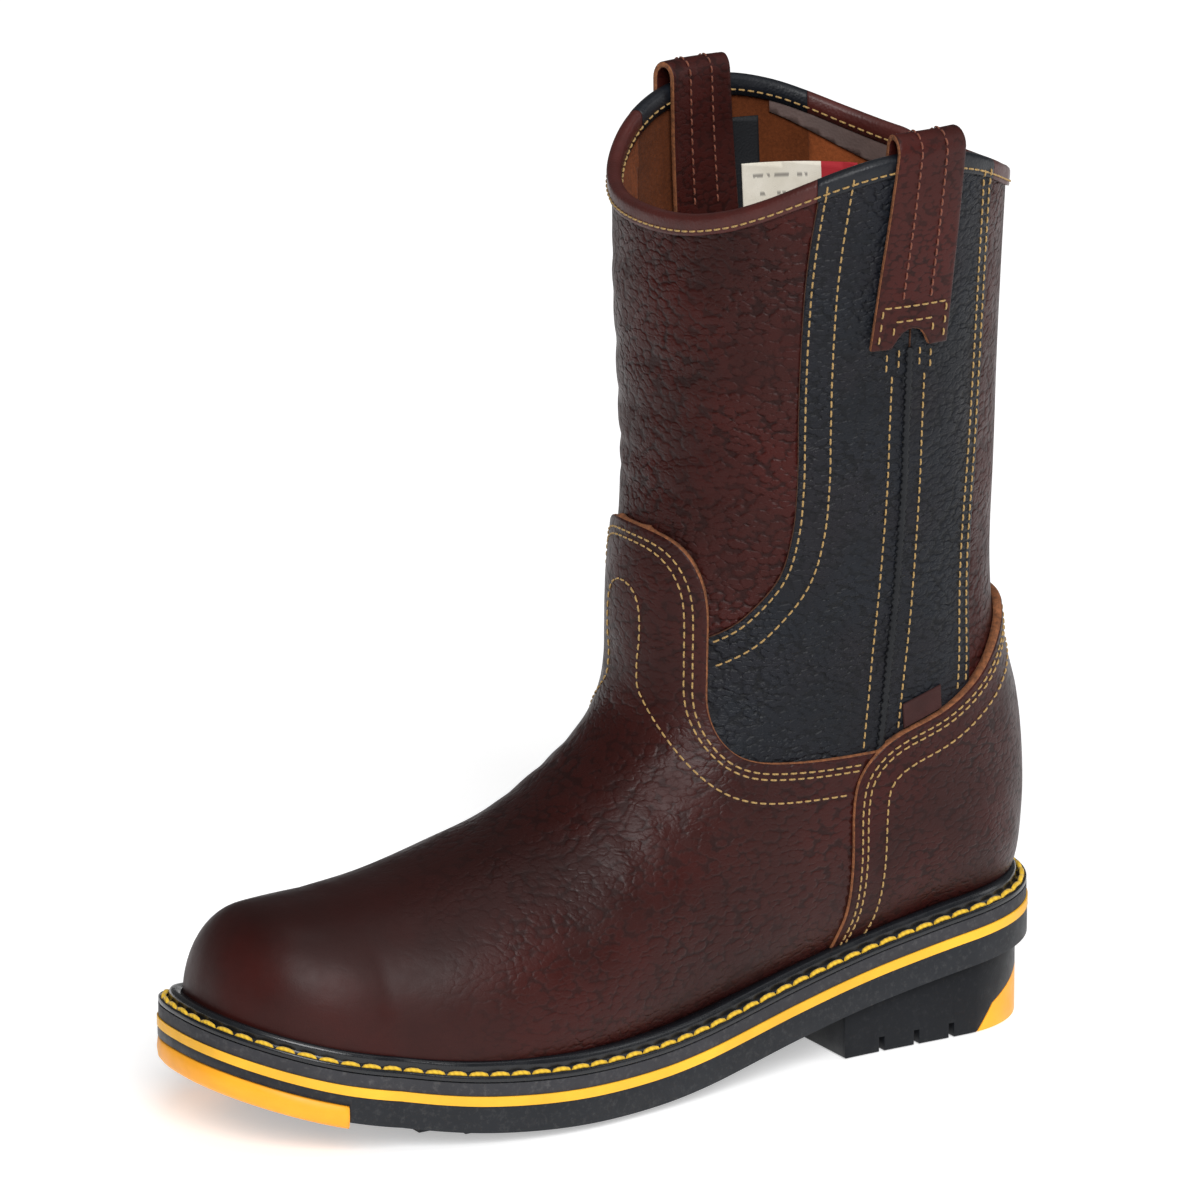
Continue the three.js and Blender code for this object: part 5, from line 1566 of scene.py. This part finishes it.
def footbed():
    m = MATERIALS
    p = foot_cloud(LINING_IN - FOOTBED_ROOM, 700)
    height = p[:, 2] - sole_height(p[:, 1])
    bands = [p[np.abs(height - level) < 0.8] for level in FOOTBED_LEVELS]
    low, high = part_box("footbed")
    y = np.linspace(low.y / MM + 0.5, high.y / MM - 0.5, 90)
    outer, inner = [], []
    for place in y:
        near = [band[np.abs(band[:, 1] - place) < 2.2] for band in bands]
        outer.append(min((n[:, 0].max() for n in near if len(n)), default=0.0))
        inner.append(max((n[:, 0].min() for n in near if len(n)), default=0.0))
    kernel = np.ones(5) / 5
    outer = np.convolve(np.pad(outer, 2, mode="edge"), kernel, "valid") - 0.4
    inner = np.convolve(np.pad(inner, 2, mode="edge"), kernel, "valid") + 0.4
    across = 12
    shares = 0.5 - 0.5 * np.cos(np.linspace(0, 1, across + 1) * math.pi)
    points, faces = [], []
    for level, crown in ((BOARD_TOP + GAP, 0.0), (FOOTBED_TOP, 1.0)):
        for yy, a, b in zip(y, inner, outer):
            for share in shares:
                rim = 1 - min(1, 2 * min(share, 1 - share) / 0.5)
                points.append((a + (b - a) * share, yy, sole_height(yy) + level + crown * (0.5 * rim - 0.5)))
    rows, step = len(y), across + 1
    base = rows * step
    for i in range(rows - 1):
        for k in range(across):
            a = i * step + k
            faces.append((a, a + step, a + step + 1, a + 1))
            faces.append((base + a, base + a + 1, base + a + step + 1, base + a + step))
    loop = [k for k in range(step)] + [i * step + across for i in range(1, rows)]
    loop += [(rows - 1) * step + k for k in range(across - 1, -1, -1)] + [i * step for i in range(rows - 2, 0, -1)]
    for a, b in zip(loop, loop[1:] + loop[:1]):
        faces.append((a, b, base + b, base + a))
    piece = mesh_object("footbed_cushion", points, faces, [m["footbed"]])
    face_outwards(piece)
    rounded(piece, 0.8, 2, 50)
    finish_modifiers(piece)
    settle(piece, "foam", "footbed", body="footbed")


HIDDEN_NODES = {"steel_toe_cap": "steel", "toe_cap_edge_strip": "foam", "heel_stiffener": "board",
                "cork_filler": "cork", "steel_shank": "steel", "insole_board": "board", "heel_nail_1": "steel",
                "heel_nail_2": "steel", "heel_nail_3": "steel", "heel_nail_4": "steel"}


def inside_nodes():
    for name, material in HIDDEN_NODES.items():
        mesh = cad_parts[name].data
        mesh.materials.clear()
        mesh.materials.append(MATERIALS[material])


# ---------------------------------------------------------------- stage
AIM = (-0.0015, -0.002, 0.1613)
VIEW_BACK = (0.8232, -0.4946, 0.2790)
VIEW_DISTANCE = 3.3
LENS = 299.0
FLOOR_GLOW = 0.42
WORLD_LIGHT = 0.14


def lamp(name, kind, place, aim, power, size=None, spread=None):
    """A softbox with a size in metres, or distant light with a spread in degrees."""
    light = bpy.data.lights.new(name, kind)
    light.energy = power
    if kind == "AREA":
        light.shape = "RECTANGLE"
        light.size, light.size_y = size
    else:
        light.angle = math.radians(spread)
    holder = bpy.data.objects.new(name, light)
    holder.location = place
    holder.rotation_euler = (Vector(aim) - Vector(place)).to_track_quat("-Z", "Y").to_euler()
    bpy.context.scene.collection.objects.link(holder)


def stage():
    bpy.ops.object.select_all(action="DESELECT")
    bpy.ops.mesh.primitive_plane_add(size=14, location=(0, 0, -0.0004))
    floor = bpy.context.object
    floor.name = "studio_floor"
    f = Finish("pale_floor")
    tone = f.ranged(f.noise(400, 2), 0.3, 0.7, 0.0, 1.0)
    floor.data.materials.append(f.set(Base_Color=f.mix(tone, (0.86, 0.86, 0.86), (0.88, 0.88, 0.88)), Roughness=0.8,
                                      Emission_Color=(1.0, 1.0, 1.0), Emission_Strength=FLOOR_GLOW))
    world = bpy.data.worlds.new("studio")
    bpy.context.scene.world = world
    world.use_nodes = True
    world.node_tree.nodes["Background"].inputs["Color"].default_value = (1.0, 1.0, 1.0, 1)
    world.node_tree.nodes["Background"].inputs["Strength"].default_value = WORLD_LIGHT
    lamp("key", "SUN", (1.9, -0.85, 1.7), (0, 0, 0.12), 2.9, spread=38)
    lamp("top", "AREA", (0.3, 0.3, 2.2), (0, 0, 0.1), 9, size=(1.6, 1.6))
    lamp("rear_edge", "AREA", (0.9, 1.7, 1.0), (0, 0, 0.18), 7, size=(0.8, 1.4))
    camera = bpy.data.cameras.new("camera")
    camera.lens = LENS
    camera.sensor_width = 36
    camera.clip_end = 50
    rig = bpy.data.objects.new("camera", camera)
    place = Vector(AIM) + Vector(VIEW_BACK).normalized() * VIEW_DISTANCE
    rig.location = place
    rig.rotation_euler = (Vector(AIM) - place).to_track_quat("-Z", "Y").to_euler()
    bpy.context.scene.collection.objects.link(rig)
    bpy.context.scene.camera = rig
    bpy.context.scene.view_settings.view_transform = "Standard"


# ---------------------------------------------------------------- add-on
def colour_setting(name, description, value):
    return bpy.props.FloatVectorProperty(name=name, description=description, subtype="COLOR", size=3, min=0, max=1,
                                         default=value)


class BOOT_PG_colours(bpy.types.PropertyGroup):
    """Colours of the boot's finishes."""
    brown: colour_setting("Brown leather", "Vamp, counter, shaft front and back", linear(49, 18, 15))
    black: colour_setting("Black leather", "Side panels and their binding", linear(18, 21, 27))
    edge: colour_setting("Raw edge", "Cut edges of the brown hide", linear(132, 80, 46))
    suede: colour_setting("Suede", "Flesh side and lining", linear(120, 63, 33))
    thread: colour_setting("Thread", "Tan stitching of the upper", linear(170, 136, 78))
    welt_thread: colour_setting("Welt thread", "Lockstitch round the welt", linear(236, 190, 40))
    rubber: colour_setting("Black rubber", "Welt, outsole and heel", linear(21, 23, 27))
    midsole: colour_setting("Midsole", "Dark grey midsole edge", linear(46, 46, 50))
    stripe: colour_setting("Stripe", "Yellow layer of the midsole", linear(240, 178, 46))
    amber: colour_setting("Amber rubber", "Toe bumper and heel insert", linear(252, 170, 44))


class BOOT_PG_sizes(bpy.types.PropertyGroup):
    """Sizes of the surface detail."""
    grain: bpy.props.FloatProperty(name="Grain", description="Width of one pebble of the leather", default=0.0034,
                                   min=0.0005, max=0.01, subtype="DISTANCE", unit="LENGTH")
    grain_depth: bpy.props.FloatProperty(name="Grain depth", description="Depth of the furrows between pebbles",
                                         default=0.0011, min=0, max=0.003, subtype="DISTANCE", unit="LENGTH")


class BOOT_OT_stage(bpy.types.Operator):
    """Makes the floor, the lights and the camera"""
    bl_idname = "boot.stage"
    bl_label = "Stage"
    bl_options = {"REGISTER", "UNDO"}

    def execute(self, context):
        stage()
        return {"FINISHED"}


class BOOT_OT_finishes(bpy.types.Operator):
    """Makes the leather, rubber, thread and metal materials"""
    bl_idname = "boot.finishes"
    bl_label = "Finishes"
    bl_options = {"REGISTER", "UNDO"}

    def execute(self, context):
        make_materials()
        return {"FINISHED"}


class BOOT_OT_shaft(bpy.types.Operator):
    """Cuts the front, back and side panels of the shaft"""
    bl_idname = "boot.shaft"
    bl_label = "Shaft"
    bl_options = {"REGISTER", "UNDO"}

    def execute(self, context):
        upper_shaft()
        return {"FINISHED"}


class BOOT_OT_foot(bpy.types.Operator):
    """Cuts the vamp and the heel counter"""
    bl_idname = "boot.foot"
    bl_label = "Vamp and counter"
    bl_options = {"REGISTER", "UNDO"}

    def execute(self, context):
        foot_leather()
        return {"FINISHED"}


class BOOT_OT_linings(bpy.types.Operator):
    """Cuts the suede lining of the foot"""
    bl_idname = "boot.linings"
    bl_label = "Linings"
    bl_options = {"REGISTER", "UNDO"}

    def execute(self, context):
        lining_pieces()
        return {"FINISHED"}


class BOOT_OT_trim(bpy.types.Operator):
    """Makes the tapes, piping, backstay, facing, tag and label"""
    bl_idname = "boot.trim"
    bl_label = "Trim"
    bl_options = {"REGISTER", "UNDO"}

    def execute(self, context):
        seam_trim()
        back_trim()
        labels()
        return {"FINISHED"}


class BOOT_OT_collar(bpy.types.Operator):
    """Folds the binding over the rim"""
    bl_idname = "boot.collar"
    bl_label = "Collar"
    bl_options = {"REGISTER", "UNDO"}

    def execute(self, context):
        collar()
        return {"FINISHED"}


class BOOT_OT_straps(bpy.types.Operator):
    """Bends the two pull straps over the rim and sews them"""
    bl_idname = "boot.straps"
    bl_label = "Pull straps"
    bl_options = {"REGISTER", "UNDO"}

    def execute(self, context):
        straps()
        strap_threads()
        return {"FINISHED"}


class BOOT_OT_stitching(bpy.types.Operator):
    """Sews the rows of thread on the upper"""
    bl_idname = "boot.stitching"
    bl_label = "Stitching"
    bl_options = {"REGISTER", "UNDO"}

    def execute(self, context):
        upper_threads()
        return {"FINISHED"}


class BOOT_OT_welt(bpy.types.Operator):
    """Runs the storm welt and its lockstitch round the sole"""
    bl_idname = "boot.welt"
    bl_label = "Welt"
    bl_options = {"REGISTER", "UNDO"}

    def execute(self, context):
        welt()
        return {"FINISHED"}


class BOOT_OT_sole(bpy.types.Operator):
    """Lays the midsole, stripe, outsole and toe bumper"""
    bl_idname = "boot.sole"
    bl_label = "Sole"
    bl_options = {"REGISTER", "UNDO"}

    def execute(self, context):
        sole_layers()
        return {"FINISHED"}


class BOOT_OT_heel(bpy.types.Operator):
    """Cuts the heel block and its insert"""
    bl_idname = "boot.heel"
    bl_label = "Heel"
    bl_options = {"REGISTER", "UNDO"}

    def execute(self, context):
        heel()
        return {"FINISHED"}


class BOOT_OT_footbed(bpy.types.Operator):
    """Lays the removable footbed"""
    bl_idname = "boot.footbed"
    bl_label = "Footbed"
    bl_options = {"REGISTER", "UNDO"}

    def execute(self, context):
        footbed()
        return {"FINISHED"}


class BOOT_OT_inside(bpy.types.Operator):
    """Gives the hidden pieces their finish"""
    bl_idname = "boot.inside"
    bl_label = "Inside"
    bl_options = {"REGISTER", "UNDO"}

    def execute(self, context):
        inside_nodes()
        return {"FINISHED"}


OPERATORS = (
    BOOT_OT_stage, BOOT_OT_finishes, BOOT_OT_shaft, BOOT_OT_foot, BOOT_OT_linings,
    BOOT_OT_trim, BOOT_OT_collar, BOOT_OT_straps, BOOT_OT_stitching, BOOT_OT_welt,
    BOOT_OT_sole, BOOT_OT_heel, BOOT_OT_footbed, BOOT_OT_inside,
)


class BOOT_PT_panel(bpy.types.Panel):
    """Sizes, colours and builders of the boot."""
    bl_idname = "BOOT_PT_panel"
    bl_label = "Work boot"
    bl_space_type = "VIEW_3D"
    bl_region_type = "UI"
    bl_category = "Work boot"

    def draw(self, context):
        for group in (context.scene.boot_sizes, context.scene.boot_colours):
            for key in group.bl_rna.properties.keys():
                if key not in ("rna_type", "name"):
                    self.layout.prop(group, key)
        for made in OPERATORS:
            self.layout.operator(made.bl_idname)


CLASSES = (BOOT_PG_colours, BOOT_PG_sizes, *OPERATORS, BOOT_PT_panel)


def register():
    for made in CLASSES:
        bpy.utils.register_class(made)
    bpy.types.Scene.boot_colours = bpy.props.PointerProperty(type=BOOT_PG_colours)
    bpy.types.Scene.boot_sizes = bpy.props.PointerProperty(type=BOOT_PG_sizes)


def unregister():
    del bpy.types.Scene.boot_sizes
    del bpy.types.Scene.boot_colours
    for made in reversed(CLASSES):
        bpy.utils.unregister_class(made)


def main():
    register()
    for made in OPERATORS:
        call = getattr(bpy.ops.boot, made.bl_idname.split(".")[1])
        if call() != {"FINISHED"}:
            raise RuntimeError(made.bl_label + " was not finished")


if __name__ == "__main__":
    main()
